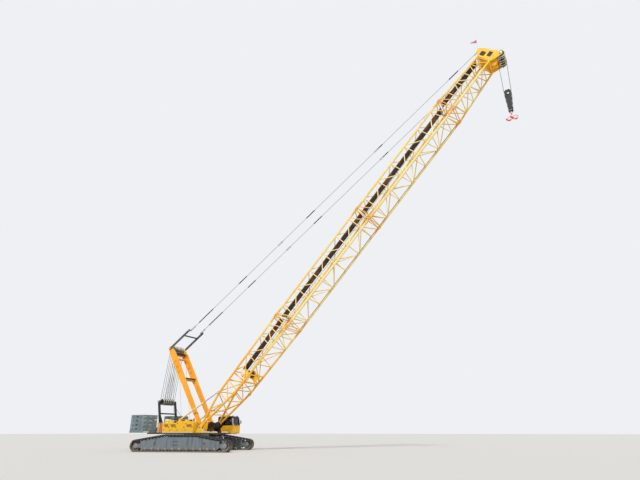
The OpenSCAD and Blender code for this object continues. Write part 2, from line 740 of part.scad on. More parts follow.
// Winches on the deck, between the houses
module winch(x, z, drum_radius, flange_radius, half_width, base_z) {
    post = 70;
    outline = [[x - flange_radius - 60, base_z], [x + flange_radius + 60, base_z],
        [x + flange_radius * 0.5, z + flange_radius * 0.35], [x - flange_radius * 0.5, z + flange_radius * 0.35]];
    union() {
        cross_pin(x, z, drum_radius, -half_width, half_width);
        for (side = [-1, 1]) {
            cross_pin(x, z, flange_radius, side > 0 ? half_width - 40 : -half_width,
                side > 0 ? half_width : -half_width + 40);
            side_plate(outline, side > 0 ? half_width : -half_width - post,
                side > 0 ? half_width + post : -half_width);
            cross_pin(x, z, 150, side > 0 ? half_width + post - 5 : -half_width - post - 60,
                side > 0 ? half_width + post + 60 : -half_width - post + 5);
        }
    }
}
hoist_winch_x = 2000;
luff_winch_x = -2240;
engine_height = 560;
module hoist_winch() {
    color(dark_grey) winch(hoist_winch_x, deck_top + 560, 260, 380, 470, deck_top + seat_gap);
}
module luffing_winch() {
    color(crane_yellow) winch(luff_winch_x, deck_top + engine_height + 500, 240, 330, 440,
        deck_top + engine_height + seat_gap);
}

// Cab: a hollow shell, with a raked front and window openings
cab_top_z = cab_floor + cab_height;
belt_z = cab_floor + 700;
front_rake = 150;
roof_drop = 90;
cab_profile = [
    [cab_rear_x, cab_floor], [cab_front_x - 60, cab_floor], [cab_front_x, cab_floor + 90], [cab_front_x, belt_z],
    [cab_front_x - front_rake, cab_top_z - roof_drop], [cab_front_x - front_rake - 90, cab_top_z],
    [cab_rear_x + 70, cab_top_z], [cab_rear_x, cab_top_z - 70]];
cab_hollow = [
    [cab_rear_x + cab_wall, cab_floor + cab_wall], [cab_front_x - cab_wall - 60, cab_floor + cab_wall],
    [cab_front_x - cab_wall, cab_floor + cab_wall + 80], [cab_front_x - cab_wall, belt_z],
        [cab_front_x - front_rake - cab_wall, cab_top_z - roof_drop - 20],
    [cab_front_x - front_rake - 90 - cab_wall, cab_top_z - cab_wall],
        [cab_rear_x + 70 + cab_wall, cab_top_z - cab_wall],
    [cab_rear_x + cab_wall, cab_top_z - 70 - cab_wall]];
// Side windows: the sill steps down behind the yellow front panel
window_front = cab_front_x - 110;
window_sill_rear = cab_rear_x + 330;
side_window = [
    [cab_rear_x + 110, cab_floor + 440], [window_sill_rear, cab_floor + 440], [window_sill_rear + 330, belt_z + 20],
    [window_front - 10, belt_z + 20], [window_front - front_rake + 10, cab_top_z - roof_drop - 30],
    [cab_rear_x + 110, cab_top_z - roof_drop - 30]];

// The door fills the outer wall between these two edges
door_rear_x = cab_rear_x + 90;
door_front_x = cab_rear_x + 1040;
door_gap = 8;
door_low = cab_floor + 70;
door_high = cab_top_z - 75;
door_window = [[door_rear_x + 90, cab_floor + 520], [door_front_x - 90, cab_floor + 520],
    [door_front_x - 90, door_high - 90], [door_rear_x + 90, door_high - 90]];
quarter_window = [[door_front_x + 90, belt_z + 20], [window_front - 10, belt_z + 20],
    [window_front - front_rake + 10, cab_top_z - roof_drop - 30], [door_front_x + 90, cab_top_z - roof_drop - 30]];
rake_angle = atan2(front_rake, cab_top_z - roof_drop - belt_z);

// The slot that a pane of the raked front fills, with a margin from the edges
module front_pane(margin, low_x, high_x) {
    translate([cab_front_x, 0, belt_z]) rotate([0, -rake_angle, 0])
        block([low_x, cab_inner + 70 + margin, 25 + margin],
            [high_x, cab_outer - 70 - margin, (cab_top_z - roof_drop - belt_z) / cos(rake_angle) - 25 - margin]);
}

module cab_shell() {
    color(crane_yellow) difference() {
        side_plate(cab_profile, cab_inner, cab_outer);
        side_plate(cab_hollow, cab_inner + cab_wall, cab_outer - cab_wall);
        side_plate(side_window, cab_inner - 10, cab_inner + cab_wall + 10);
        side_plate(quarter_window, cab_outer - cab_wall - 10, cab_outer + 10);
        block([door_rear_x, cab_outer - cab_wall - 10, door_low], [door_front_x, cab_outer + 10, door_high]);
        front_pane(0, -120, 60);
        block([cab_rear_x - 10, cab_inner + 120, belt_z + 40],
            [cab_rear_x + cab_wall + 10, cab_outer - 120, cab_top_z - 160]);
        block([cab_rear_x + 500, cab_inner + 180, cab_top_z - cab_wall - 10],
            [cab_front_x - front_rake - 320, cab_outer - 180, cab_top_z + 10]);
    }
}

// Each pane fills its opening and sits in the middle of the wall
module cab_glass() {
    mid_in = cab_inner + cab_wall / 2;
    mid_out = cab_outer - cab_wall / 2;
    color(glass_blue) union() {
        side_plate(side_window, mid_in - glass_thickness / 2, mid_in + glass_thickness / 2);
        side_plate(quarter_window, mid_out - glass_thickness / 2, mid_out + glass_thickness / 2);
        front_pane(0, -30 - glass_thickness, -30);
        block([cab_rear_x + 20, cab_inner + 120, belt_z + 40],
            [cab_rear_x + 20 + glass_thickness, cab_outer - 120, cab_top_z - 160]);
        block([cab_rear_x + 500, cab_inner + 180, cab_top_z - 30],
            [cab_front_x - front_rake - 320, cab_outer - 180, cab_top_z - 30 + glass_thickness]);
    }
}

// Seat, consoles and control levers
seat_x = cab_rear_x + 420;
cab_mid = (cab_inner + cab_outer) / 2;
module cab_seat() {
    floor_z = cab_floor + cab_wall + seat_gap;
    color(dark_grey) union() {
        block([seat_x, cab_mid - 170, floor_z + 40], [seat_x + 380, cab_mid + 170, floor_z + 330]);
        block([seat_x - 20, cab_mid - 240, floor_z + 320], [seat_x + 480, cab_mid + 240, floor_z + 440]);
        side_plate([[seat_x - 30, floor_z + 400], [seat_x + 90, floor_z + 400], [seat_x + 10, floor_z + 1040],
            [seat_x - 90, floor_z + 1040]], cab_mid - 220, cab_mid + 220);
        for (side = [-1, 1]) {
            block([seat_x + 30, cab_mid + side * 320 - 60, floor_z + 40],
                [seat_x + 560, cab_mid + side * 320 + 60, floor_z + 560]);
            translate([seat_x + 470, cab_mid + side * 320, floor_z + 550]) cylinder(h = 180, r = 16, $fn = 16);
        }
        block([seat_x - 60, cab_mid - 380, floor_z + 40], [seat_x + 560, cab_mid + 380, floor_z + 80]);
        block([seat_x, cab_mid - 60, floor_z], [seat_x + 200, cab_mid + 60, floor_z + 60]);
    }
}

// Door on a rear hinge
hinge_x = door_rear_x + 24;
hinge_y = cab_outer + 10;
module cab_door() {
    color(crane_yellow) union() {
        difference() {
            block([door_rear_x + door_gap, cab_outer - cab_wall, door_low + door_gap],
                [door_front_x - door_gap, cab_outer, door_high - door_gap]);
            side_plate(door_window, cab_outer - cab_wall - 10, cab_outer + 10);
        }
        // Hinge knuckles and grab handle
        for (z = [door_low + 140, door_high - 260])
            translate([hinge_x, hinge_y, z]) cylinder(h = 120, r = 14, $fn = 24);
        block([door_front_x - 70, cab_outer - 5, cab_floor + 330],
            [door_front_x - 45, cab_outer + 30, cab_floor + 480]);
    }
}
module cab_door_glass() {
    mid = cab_outer - cab_wall / 2;
    color(glass_blue) side_plate(door_window, mid - glass_thickness / 2, mid + glass_thickness / 2);
}

// Mast: two legs in their own frame, X from the foot pin to the head shaft
mast_tie = [4650, 7050];
head_beam = [7500, 7660];
mast_head_shaft = 70;
mast_leg_outline = [
    [-150, -90], [-90, -150], [200, -150], [4300, -230], [5000, -270], [7600, -270], [8400, -210], [8480, -110],
    [8480, 110], [8400, 210], [7600, 270], [5000, 270], [4300, 200], [200, 150], [-90, 150], [-150, 90]];
mast_stretch = mast_length / 8250;
leg_pockets = [[5200, 380], [5800, 380], [6400, 380]];
stay_pin = 50;
stay_plate = 28;

module mast_leg_body(side) {
    low = side * mast_y - mast_leg / 2;
    difference() {
        side_plate([for (p = mast_leg_outline) [p.x < 300 ? p.x : p.x * mast_stretch, p.y]], low, low + mast_leg);
        // Weight saving recesses in the wide upper part, on both faces
        for (p = leg_pockets, wall = [-1, 1])
            block([p.x * mast_stretch, side * mast_y + wall * mast_leg / 2 - 45, -150],
                [(p.x + p[1]) * mast_stretch, side * mast_y + wall * mast_leg / 2 + 45, 150]);
        cross_pin(0, 0, mast_pin + sheave_fit, low - 10, low + mast_leg + 10);
    }
}
module mast() {
    color(mast_orange) in_plane(mast_foot_x, mast_foot_z, mast_angle) union() {
        for (side = [-1, 1]) mast_leg_body(side);
        for (x = mast_tie)
            cross_pin(x * mast_stretch, 0, 110, -mast_y, mast_y, tube_faces);
        block([mast_tie[0] * mast_stretch - 60, -mast_y, -200], [mast_tie[0] * mast_stretch + 60, mast_y, -60]);
        cross_pin(mast_length, 0, mast_head_shaft, -mast_y - mast_leg / 2 - 60, mast_y + mast_leg / 2 + 60);
        // Head beam under the sheaves
        block([head_beam[0] * mast_stretch, -mast_y, -120], [head_beam[1] * mast_stretch, mast_y, 120]);
    }
}
mast_sheave_count = 7;
mast_sheave_span = 1240;
module mast_sheaves() {
    color(rope_grey) in_plane(mast_foot_x, mast_foot_z, mast_angle)
        sheave_row(mast_length, 0, mast_sheave_radius, 90, mast_head_shaft + sheave_fit,
            mast_sheave_count, mast_sheave_span);
}

// Boom: its own frame has X from the foot pin along the middle of the boom
half_depth = boom_depth / 2;
half_width = boom_width / 2;
section_gap = seat_gap / 2;
// A slanted chord ends this far inside its connector
chord_inset = 20;
end_margin = 120;
full_bays = 5;
end_bay = 1150;

// Stations of the cross frames of a straight section of a given length
function insert_stations(length) = [for (i = [0 : full_bays + 2])
    i == 0 ? end_margin : i == full_bays + 2 ? length - end_margin
        : end_bay + (i - 1) * (length - 2 * end_bay) / full_bays];

// A corner of a cross frame
function corner(frame, up, side) = [frame[0], side * (up > 0 ? frame[3] : frame[4]), up > 0 ? frame[1] : frame[2]];

// One frame per row: station, upper and lower chord height, upper and lower half width
function straight_frames(start, length) = [for (s = insert_stations(length))
    [start + s, half_depth, -half_depth, half_width, half_width]];

// A lacing tube between two chord centres, trimmed so that its ends lie inside the chords
lacing_trim = 64;
function toward(p, q, length) = p + (q - p) * length / norm(q - p);
module lace(p, q) {
    bar(toward(p, q, lacing_trim), toward(q, p, lacing_trim), lacing_radius);
}

// Cross struts and zigzag lacing on all four sides between frames
lace_offset = 130;
module lacing(frames) {
    for (f = frames) {
        for (side = [-1, 1]) lace(corner(f, -1, side), corner(f, 1, side));
        for (up = [-1, 1]) lace(corner(f, up, -1), corner(f, up, 1));
    }
    for (i = [0 : len(frames) - 2]) {
        step = frames[i + 1] - frames[i];
        share = lace_offset / step.x;
        a = frames[i] + step * share;
        b = frames[i + 1] - step * share;
        turn = i % 2 == 0 ? 1 : -1;
        for (side = [-1, 1]) lace(corner(a, turn, side), corner(b, -turn, side));
        for (up = [-1, 1]) lace(corner(a, up, turn * up), corner(b, up, -turn * up));
    }
}

// A chord of the butt: two tubes that meet in a round gusset at the knuckle
gusset = 20;
gusset_half = chord_radius + 8;
module bent_chord(foot, knuckle, tip, side) {
    y = side * half_width;
    bar([foot.x, y, foot.y], [knuckle.x, y, knuckle.y], chord_radius - 3, tube_faces);
    bar([knuckle.x, y, knuckle.y], [tip.x, y, tip.y], chord_radius, tube_faces);
    cross_pin(knuckle.x, knuckle.y, chord_radius + gusset, y - gusset_half, y + gusset_half, tube_faces);
}

// Connector at a section's end: a collar on each chord and a pin across it
module connectors(station, way) {
    for (side = [-1, 1], up = [-1, 1])
        translate([station, side * half_width, up * half_depth]) {
            rotate([0, 90, 0]) translate([0, 0, way > 0 ? section_gap : -150 - section_gap])
                cylinder(h = 150, r = chord_radius + 28, $fn = tube_faces);
            rotate([90, 0, 0]) translate([way * 95, 0, -chord_radius - 55])
                cylinder(h = 2 * chord_radius + 110, r = 38, $fn = 24);
        }
}

module insert() {
    low = section_gap;
    high = section_length - section_gap;
    union() {
        for (up = [-1, 1], side = [-1, 1])
            bar([low, side * half_width, up * half_depth], [high, side * half_width, up * half_depth],
                chord_radius, tube_faces);
        lacing(straight_frames(0, section_length));
        connectors(0, 1);
        connectors(section_length, -1);
    }
}

// Butt section: chords run together at the foot pins
knuckle_up = [3400, 640];
knuckle_low = [4420, -660];
butt_stations = [1600, 3400, 4750, 5700, 7700, 9700, 10900, 11880];
butt_scale = section_length / 12000;
function upper_chord_height(s) = s < knuckle_up.x
    ? knuckle_up.y * s / knuckle_up.x
    : knuckle_up.y + (half_depth - knuckle_up.y) * (s - knuckle_up.x) / (12000 - knuckle_up.x);
function lower_chord_height(s) = s < knuckle_low.x
    ? knuckle_low.y * s / knuckle_low.x
    : knuckle_low.y - (half_depth + knuckle_low.y) * (s - knuckle_low.x) / (12000 - knuckle_low.x);
butt_frames = [for (s = butt_stations)
    [s * butt_scale, upper_chord_height(s), lower_chord_height(s), half_width, half_width]];
butt_winch_x = 6100 * butt_scale;
butt_winch_z = 60;
winch_beam_z = lower_chord_height(6100) + 60;
foot_reach = 360;
foot_outline = [[-110, -70], [-70, -130], [60, -150], [foot_reach + 200, -190], [foot_reach + 200, 190], [60, 150],
    [-70, 130], [-110, 70]];

module boom_butt_body() {
    end = section_length - chord_inset;
    union() {
        for (side = [-1, 1]) {
            bent_chord([foot_reach + 60, upper_chord_height(foot_reach + 60)],
                [knuckle_up.x * butt_scale, knuckle_up.y], [end, half_depth], side);
            bent_chord([foot_reach, lower_chord_height(foot_reach)],
                [knuckle_low.x * butt_scale, knuckle_low.y], [end, -half_depth], side);
            difference() {
                side_plate(foot_outline, side * foot_y - foot_lug / 2, side * foot_y + foot_lug / 2);
                cross_pin(0, 0, foot_pin + sheave_fit, side * foot_y - foot_lug, side * foot_y + foot_lug);
            }
        }
        lacing(butt_frames);
        connectors(section_length, -1);
        // Beams under the winch in the boom
        for (x = [butt_winch_x - 420, butt_winch_x + 420])
            bar([x, -half_width, winch_beam_z - 60], [x, half_width, winch_beam_z - 60], 60, lacing_faces);
    }
}
module place_boom() {
    in_plane(boom_foot_x, boom_foot_z, boom_angle) children();
}
module boom_butt() { color(crane_yellow) place_boom() boom_butt_body(); }
module boom_insert_lower() { color(crane_yellow) place_boom() translate([section_length, 0, 0]) insert(); }
module boom_insert_upper() { color(crane_yellow) place_boom() translate([2 * section_length, 0, 0]) insert(); }

// Head section: the chords draw together to the head plates
head_start = 3 * section_length;
shaft_x = head_start + head_length;
shaft_z = -1000;
head_shaft = 75;
head_end_x = shaft_x - 900;
head_upper = [head_end_x + 200, 660, 780];
head_lower = [head_end_x, -600, 860];
head_stations = [0.02, 0.2, 0.42, 0.62, 0.81, 0.97];
function mix(a, b, t) = a + (b - a) * t;
head_frames = [for (t = head_stations)
    let (x = mix(head_start, head_end_x, t), up = (x - head_start) / (head_upper.x - head_start))
    [x, mix(half_depth, head_upper.y, up), mix(-half_depth, head_lower.y, t), mix(half_width, head_upper.z, up),
        mix(half_width, head_lower.z, t)]];
head_plate_y = [-880, -360, 300, 820];
head_plate = 60;
head_outline = [
    [head_end_x - 120, -700], [head_end_x - 60, 700], [head_end_x + 260, 1000], [head_end_x + 420, 1110],
    [head_end_x + 620, 1080], [head_end_x + 760, 820], [shaft_x + 20, -300], [shaft_x + 130, -800],
    [shaft_x + 180, -1000], [shaft_x + 110, -1150], [shaft_x - 60, -1190], [shaft_x - 220, -1120]];
stay_lug = [head_end_x + 530, 970];
deflector = [head_end_x + 640, 640];
jib_bore = 35;
jib_hole = [shaft_x - 480, -620];
pole_base = [head_end_x + 520, 1060];
pole_socket = 70;
// Half gaps that the two stay pins leave for the end of a stay
stay_pin_spans = [[330, stay_spacing / 2 - stay_plate - swing_gap],
    [stay_spacing / 2 + stay_plate + swing_gap, 850]];
pole_height = 1150;
pole_radius = 16;

module boom_head() {
    color(crane_yellow) place_boom() union() {
        for (side = [-1, 1]) {
            bar([head_start + chord_inset, side * half_width, half_depth],
                [head_upper.x, side * head_upper.z, head_upper.y],
                chord_radius - 10, tube_faces);
            bar([head_start + chord_inset, side * half_width, -half_depth],
                [head_lower.x, side * head_lower.z, head_lower.y],
                chord_radius - 10, tube_faces);
        }
        lacing(head_frames);
        connectors(head_start, 1);
        difference() {
            for (y = head_plate_y) side_plate(head_outline, y, y + head_plate);
            cross_pin(jib_hole.x, jib_hole.y, jib_bore, -1000, 1000);
        }
        cross_pin(shaft_x, shaft_z, head_shaft, head_plate_y[0] - 40, head_plate_y[3] + head_plate + 40);
        // Pins either side of each stay's end
        for (side = [-1, 1], span = stay_pin_spans)
            cross_pin(stay_lug.x, stay_lug.y, stay_pin, side > 0 ? span.x : -span.y, side > 0 ? span.y : -span.x);
        // Socket for the pennant's pole
        translate([pole_base.x, head_plate_y[0] + head_plate / 2, pole_base.y]) rotate([0, boom_angle, 0])
            cylinder(h = pole_socket, r = 26, $fn = tube_faces);
        // Deflector shaft and cross boxes
        cross_pin(deflector.x, deflector.y, 60, head_plate_y[0], head_plate_y[3] + head_plate);
        block([head_end_x - 40, head_plate_y[0], -120], [head_end_x + 200, head_plate_y[3] + head_plate, 60]);
        block([head_end_x + 60, head_plate_y[0], 520], [head_end_x + 240, head_plate_y[3] + head_plate, 700]);
    }
}

// Pennant on a pole at the head: the pole stays upright at rest
pennant_length = 620;
pennant_height = 380;
module pennant() {
    color(hook_red) place_boom() translate([pole_base.x, head_plate_y[0] + head_plate / 2, pole_base.y])
        rotate([0, boom_angle, 0]) union() {
            translate([0, 0, pole_socket + seat_gap]) cylinder(h = pole_height - pole_socket,
                r = pole_radius, $fn = tube_faces);
            side_plate([[0, pole_height - 20], [0, pole_height - pennant_height],
                [-pennant_length, pole_height - pennant_height / 2]], -6, 6);
        }
}

// Walkway gratings that hang below the upper struts
walkway_width = 620;
walkway_thickness = 45;
module boom_walkway() {
    top = half_depth - lacing_radius - seat_gap;
    color(grating_brown) place_boom() union() {
        for (n = [1, 2])
            block([n * section_length + end_margin, -walkway_width / 2, top - walkway_thickness],
                [(n + 1) * section_length - end_margin, walkway_width / 2, top]);
        rise = atan2(half_depth - knuckle_up.y, 12000 - knuckle_up.x);
        translate([section_length - end_margin, 0, half_depth])
            rotate([0, -rise, 0])
                block([-5800 * butt_scale, -walkway_width / 2, -lacing_radius - seat_gap - walkway_thickness - 3],
                    [0, walkway_width / 2, -lacing_radius - seat_gap - 3]);
    }
}

// Winch in the boom's butt
module boom_winch() {
    base = winch_beam_z + seat_gap;
    color(dark_grey) place_boom() winch(butt_winch_x, butt_winch_z, 250, 400, 640, base);
}

// Sheaves on the head shaft, and two small deflector sheaves above them
head_sheave_y = [-700, -480, -120, 120, 480, 700];
deflector_y = [-120, 120];
deflector_radius = 210;
module head_sheaves() {
    color(steel_grey) place_boom() union() {
        for (y = head_sheave_y)
            translate([shaft_x, y, shaft_z]) sheave(head_sheave_radius, 90, head_shaft + sheave_fit);
        for (y = deflector_y)
            translate([deflector.x, y, deflector.y]) sheave(deflector_radius, 90, 60 + sheave_fit);
    }
}

// Points of the crane's plane, turned out of the boom's and the mast's own frames
function from_boom(p) = [boom_foot_x + p.x * cos(boom_angle) - p.y * sin(boom_angle),
    boom_foot_z + p.x * sin(boom_angle) + p.y * cos(boom_angle)];
function from_mast(p) = [mast_foot_x + p.x * cos(mast_angle) - p.y * sin(mast_angle),
    mast_foot_z + p.x * sin(mast_angle) + p.y * cos(mast_angle)];

// Pendants: heavy links at the mast head, then stays in three lengths with joints between
mast_eye = from_mast([mast_length, 0]);
boom_eye = from_boom(stay_lug);
stay_run = boom_eye - mast_eye;
stay_length = norm(stay_run);
stay_angle = atan2(stay_run.y, stay_run.x);
stay_y = stay_spacing / 2;
link_length = 2750;
link_plate_width = 36;
link_start = mast_y + mast_leg / 2 + swing_gap;
stay_joint_share = [0, 0.33, 0.67, 1];
joint_half = 260;
stay_end = stay_length + 70;

module link_plate(x0, x1, half_height, low, high) {
    side_plate([[x0 - half_height, -half_height * 0.5], [x0 - half_height * 0.5, -half_height],
        [x1 + half_height * 0.5, -half_height], [x1 + half_height, -half_height * 0.5],
        [x1 + half_height, half_height * 0.5], [x1 + half_height * 0.5, half_height],
        [x0 - half_height * 0.5, half_height], [x0 - half_height, half_height * 0.5]], low, high);
}
module place_stays() {
    in_plane(mast_eye.x, mast_eye.y, stay_angle) children();
}
module pendant_links() {
    low = link_start;
    high = link_start + link_plate_width;
    color(dark_grey) place_stays() union() {
        for (side = [-1, 1]) {
            difference() {
                link_plate(0, link_length, 120, side > 0 ? low : -high, side > 0 ? high : -low);
                cross_pin(0, 0, mast_head_shaft + sheave_fit, side > 0 ? low - 10 : -high - 10,
                    side > 0 ? high + 10 : -low + 10);
            }
            // Pin that takes the stay at the link's far end
            cross_pin(link_length, 0, stay_pin, side > 0 ? stay_y - 60 : -high - 20,
                side > 0 ? high + 20 : -stay_y + 60);
        }
        // Spreader between the two links
        cross_pin(link_length * 0.72, 0, 70, -low, low, tube_faces);
    }
}
module pendant_stays() {
    start = link_length + stay_pin + seat_gap;
    color(steel_grey) place_stays() union() {
        for (side = [-1, 1]) {
            bar([start, side * stay_y, 0], [stay_end, side * stay_y, 0], stay_radius, 16);
            for (t = stay_joint_share) {
                x = mix(start + joint_half + 80, stay_end - joint_half - 80, t);
                link_plate(x - joint_half, x + joint_half, 75, side * stay_y - stay_plate,
                    side * stay_y + stay_plate);
            }
        }
    }
}

// Backstops: telescopic struts from the houses to the boom's knuckle
brace_tip = from_boom([knuckle_up.x * butt_scale, knuckle_up.y]);
brace_base = [brace_base_x, brace_base_z];
brace_run = brace_tip - brace_base;
brace_length = norm(brace_run);
brace_angle = atan2(brace_run.y, brace_run.x);
tube_length = 2900;
tube_outer = 70;
tube_bore = 52;
rod_radius = 46;
rod_start = 1400;
rod_eye = 75;
eye_inner = half_width + gusset_half + swing_gap;
module place_backstop() {
    in_plane(brace_base.x, brace_base.y, brace_angle) children();
}
module backstop_tubes() {
    color(crane_yellow) place_backstop()
        for (side = [-1, 1]) difference() {
            union() {
                bar([60, side * brace_y, 0], [tube_length, side * brace_y, 0], tube_outer, tube_faces);
                cross_pin(0, 0, 70, side * brace_y - brace_wall + 26, side * brace_y + brace_wall - 26);
            }
            bar([200, side * brace_y, 0], [tube_length + 10, side * brace_y, 0], tube_bore, tube_faces);
            cross_pin(0, 0, brace_pin + sheave_fit, side * brace_y - brace_wall, side * brace_y + brace_wall);
        }
}
module backstop_rods() {
    color(steel_grey) place_backstop()
        for (side = [-1, 1]) union() {
            bar([rod_start, side * brace_y, 0], [brace_length - 40, side * brace_y, 0], rod_radius, tube_faces);
            // The eye lies beside the gusset of the boom's knuckle
            cross_pin(brace_length, 0, rod_eye, side > 0 ? eye_inner : -brace_y - 34,
                side > 0 ? brace_y + 34 : -eye_inner);
        }
}

// Hook block below the head: it hangs plumb from four falls of rope
head_centre = from_boom([shaft_x, shaft_z]);
block_z = head_centre.y - hook_drop;
block_half = 210;
block_top = 430;
block_bottom = 1700;
cheek_thickness = 45;
block_shaft = 55;
block_sheave_y = [-120, 120];
swivel_radius = 70;
// Depth of a fall's middle below a sheave's rim
fall_inset = groove_depth - hoist_rope_radius - seat_gap;
ballast_bottom = block_bottom - 230;
module hook_falls() {
    color(rope_grey)
        for (y = block_sheave_y, way = [-1, 1])
            bar([head_centre.x + way * (block_sheave_radius - fall_inset), y, block_z],
                [head_centre.x + way * (head_sheave_radius - fall_inset), y, head_centre.y], hoist_rope_radius, 12);
}
module hook_block() {
    cheek_outline = [[-150, block_top], [150, block_top], [260, block_top - 120], [300, 0], [260, -500],
        [190, -block_bottom + 120], [120, -block_bottom], [-120, -block_bottom], [-190, -block_bottom + 120],
        [-260, -500], [-300, 0], [-260, block_top - 120]];
    color(dark_grey) translate([head_centre.x, 0, block_z]) union() {
        for (side = [-1, 1])
            side_plate(cheek_outline, side > 0 ? block_half - cheek_thickness : -block_half,
                side > 0 ? block_half : -block_half + cheek_thickness);
        cross_pin(0, 0, block_shaft, -block_half - 30, block_half + 30);
        // Ballast between the cheeks
        difference() {
            block([-170, -block_half + 10, -ballast_bottom], [170, block_half - 10, -430]);
            translate([0, 0, -ballast_bottom - 10]) cylinder(h = 240, r = swivel_radius + 50, $fn = round_faces);
        }
        // Trunnion that carries the hook's shank
        difference() {
            block([-120, -block_half + 10, -block_bottom + 20], [120, block_half - 10, -block_bottom + 150]);
            translate([0, 0, -block_bottom]) cylinder(h = 200, r = swivel_radius + sheave_fit, $fn = round_faces);
        }
        // Sheaves in the block
        for (y = block_sheave_y)
            translate([0, y, 0]) sheave(block_sheave_radius, 90, block_shaft - 1);
    }
}

// Ramshorn hook: a swivelling shank, a thick body and two curved horns with domed tips
hook_top = block_z - block_bottom;
horn_radius = 180;
horn_thickness = 66;
horn_x = horn_radius + horn_thickness + 3;
horn_drop = 640;
horn_sweep = 200;
hook_body = 138;
module horn() {
    // A torus from the body down, outwards and up to the tip
    translate([horn_x, 0, -horn_drop]) rotate([90, 0, 0]) {
        rotate([0, 0, 180]) rotate_extrude(angle = horn_sweep, $fn = round_faces)
            translate([horn_radius, 0]) circle(r = horn_thickness, $fn = 24);
        rotate([0, 0, 180 + horn_sweep]) translate([horn_radius, -10, 0])
            sphere(r = horn_thickness - 5, $fn = 24);
    }
}
module hook() {
    color(hook_red) translate([head_centre.x, 0, hook_top]) union() {
        cylinder(h = 230, r = swivel_radius, $fn = round_faces);
        translate([0, 0, 152]) cylinder(h = 60, r = swivel_radius + 35, $fn = round_faces);
        translate([0, 0, -horn_drop + 100]) cylinder(h = horn_drop, r = swivel_radius - 6, $fn = round_faces);
        translate([0, 0, -horn_drop - 55]) cylinder(h = 220, r = hook_body, $fn = round_faces);
        horn();
        mirror([1, 0, 0]) horn();
    }
}

track_right();
track_left();
side_frame_right();
side_frame_left();
rollers_right();
rollers_left();
idler_right();
idler_left();
sprocket_right();
sprocket_left();
carbody();
jack_cylinders();
slew_ring();
deck();
house_right();
house_left();
engine();
rear_bail();
bail_sheaves();
counterweight_tray();
counterweight_right();
counterweight_left();
hoist_winch();
luffing_winch();
cab_shell();
cab_glass();
cab_seat();
cab_door();
cab_door_glass();
mast();
mast_sheaves();
boom_butt();
boom_insert_lower();
boom_insert_upper();
boom_head();
boom_walkway();
boom_winch();
head_sheaves();
pennant();
pendant_links();
pendant_stays();
backstop_tubes();
backstop_rods();
hook_falls();
hook_block();
hook();
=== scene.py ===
# %% [markdown]
# A crawler crane stands on two long tracks and holds a lattice boom up with ropes that run over a
# leaning mast. The solids, sizes and joints come packed from the CAD model. This script adds what a
# model of solids leaves out: ropes, rails, pipes, latches, glass seals, cloth and the finish of every
# surface. We load the packed model first, because every piece here is placed against it.

# %% Load the packed crane
import math

import bpy
import numpy as np
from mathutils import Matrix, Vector


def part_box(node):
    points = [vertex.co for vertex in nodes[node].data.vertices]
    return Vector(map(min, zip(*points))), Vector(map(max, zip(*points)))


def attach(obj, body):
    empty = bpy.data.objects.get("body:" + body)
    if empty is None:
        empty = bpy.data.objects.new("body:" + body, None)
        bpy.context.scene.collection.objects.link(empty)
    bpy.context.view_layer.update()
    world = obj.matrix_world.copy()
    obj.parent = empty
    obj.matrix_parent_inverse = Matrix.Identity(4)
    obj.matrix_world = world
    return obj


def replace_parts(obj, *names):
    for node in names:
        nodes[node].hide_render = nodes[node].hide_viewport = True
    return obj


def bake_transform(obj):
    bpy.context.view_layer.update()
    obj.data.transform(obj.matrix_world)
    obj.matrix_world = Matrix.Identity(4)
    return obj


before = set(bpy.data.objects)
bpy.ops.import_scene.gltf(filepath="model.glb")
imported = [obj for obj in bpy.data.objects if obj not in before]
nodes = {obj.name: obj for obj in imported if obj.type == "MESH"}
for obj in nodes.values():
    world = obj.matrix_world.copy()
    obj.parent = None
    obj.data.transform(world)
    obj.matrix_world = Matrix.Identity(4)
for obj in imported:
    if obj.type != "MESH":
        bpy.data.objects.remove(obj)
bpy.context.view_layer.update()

# %% [markdown]
# The photograph was taken from standing height, far to the front right, with the camera tilted up.
# The view was solved from it: a 27 mm lens on a 36 mm frame, 1.6 m over the floor. A look direction
# turned into a quaternion is safer than three angles, whose order is easy to mix up.

# %% Camera
CAMERA_PLACE, HEADING, TILT = (32.151, -37.253, 1.6), math.radians(27.4), math.radians(21.75)


def placed(data, place, look):
    """An object for a camera or a lamp that points along a look direction."""
    thing = bpy.data.objects.new(data.name, data)
    bpy.context.scene.collection.objects.link(thing)
    thing.location = place
    thing.rotation_mode = "QUATERNION"
    thing.rotation_quaternion = Vector(look).to_track_quat("-Z", "Y")
    return thing


eye = bpy.data.cameras.new("eye")
eye.lens, eye.sensor_width, eye.clip_end = 36 * 481 / 640, 36, 1000
look = (-math.sin(HEADING) * math.cos(TILT), math.cos(HEADING) * math.cos(TILT), math.sin(TILT))
bpy.context.scene.camera = placed(eye, CAMERA_PLACE, look)
bpy.context.scene.view_settings.view_transform = "Standard"
print("lens", round(eye.lens, 2), "mm")

# %% [markdown]
# The boom, the mast and the tracks each have their own direction. A piece on the boom is easiest to
# draw as if the boom lay level, so these functions take points from that level drawing to the crane.
# Turning the objects would do it too, but a finished piece's object stays unturned at the origin.

# %% The crane's own frames
BOOM_FOOT, BOOM_ANGLE = np.array([1.39, 0, 2.02]), math.radians(47)
MAST_FOOT, MAST_ANGLE = np.array([0.95, 0, 2.35]), math.radians(122.3)
TRACK_TURN, GAUGE = math.radians(18), 6.2
SECTION, HALF_W, HALF_D = 12.0, 1.15, 0.84    # a boom section's length, and half its width and depth


def tilted(points, foot, angle):
    """x and z turned by the angle, and the foot added: x·cos − z·sin and x·sin + z·cos."""
    p = np.asarray(points, float)
    c, s = math.cos(angle), math.sin(angle)
    return np.stack([p[..., 0] * c - p[..., 2] * s, p[..., 1], p[..., 0] * s + p[..., 2] * c], -1) + foot


def on_boom(points):
    return tilted(points, BOOM_FOOT, BOOM_ANGLE)


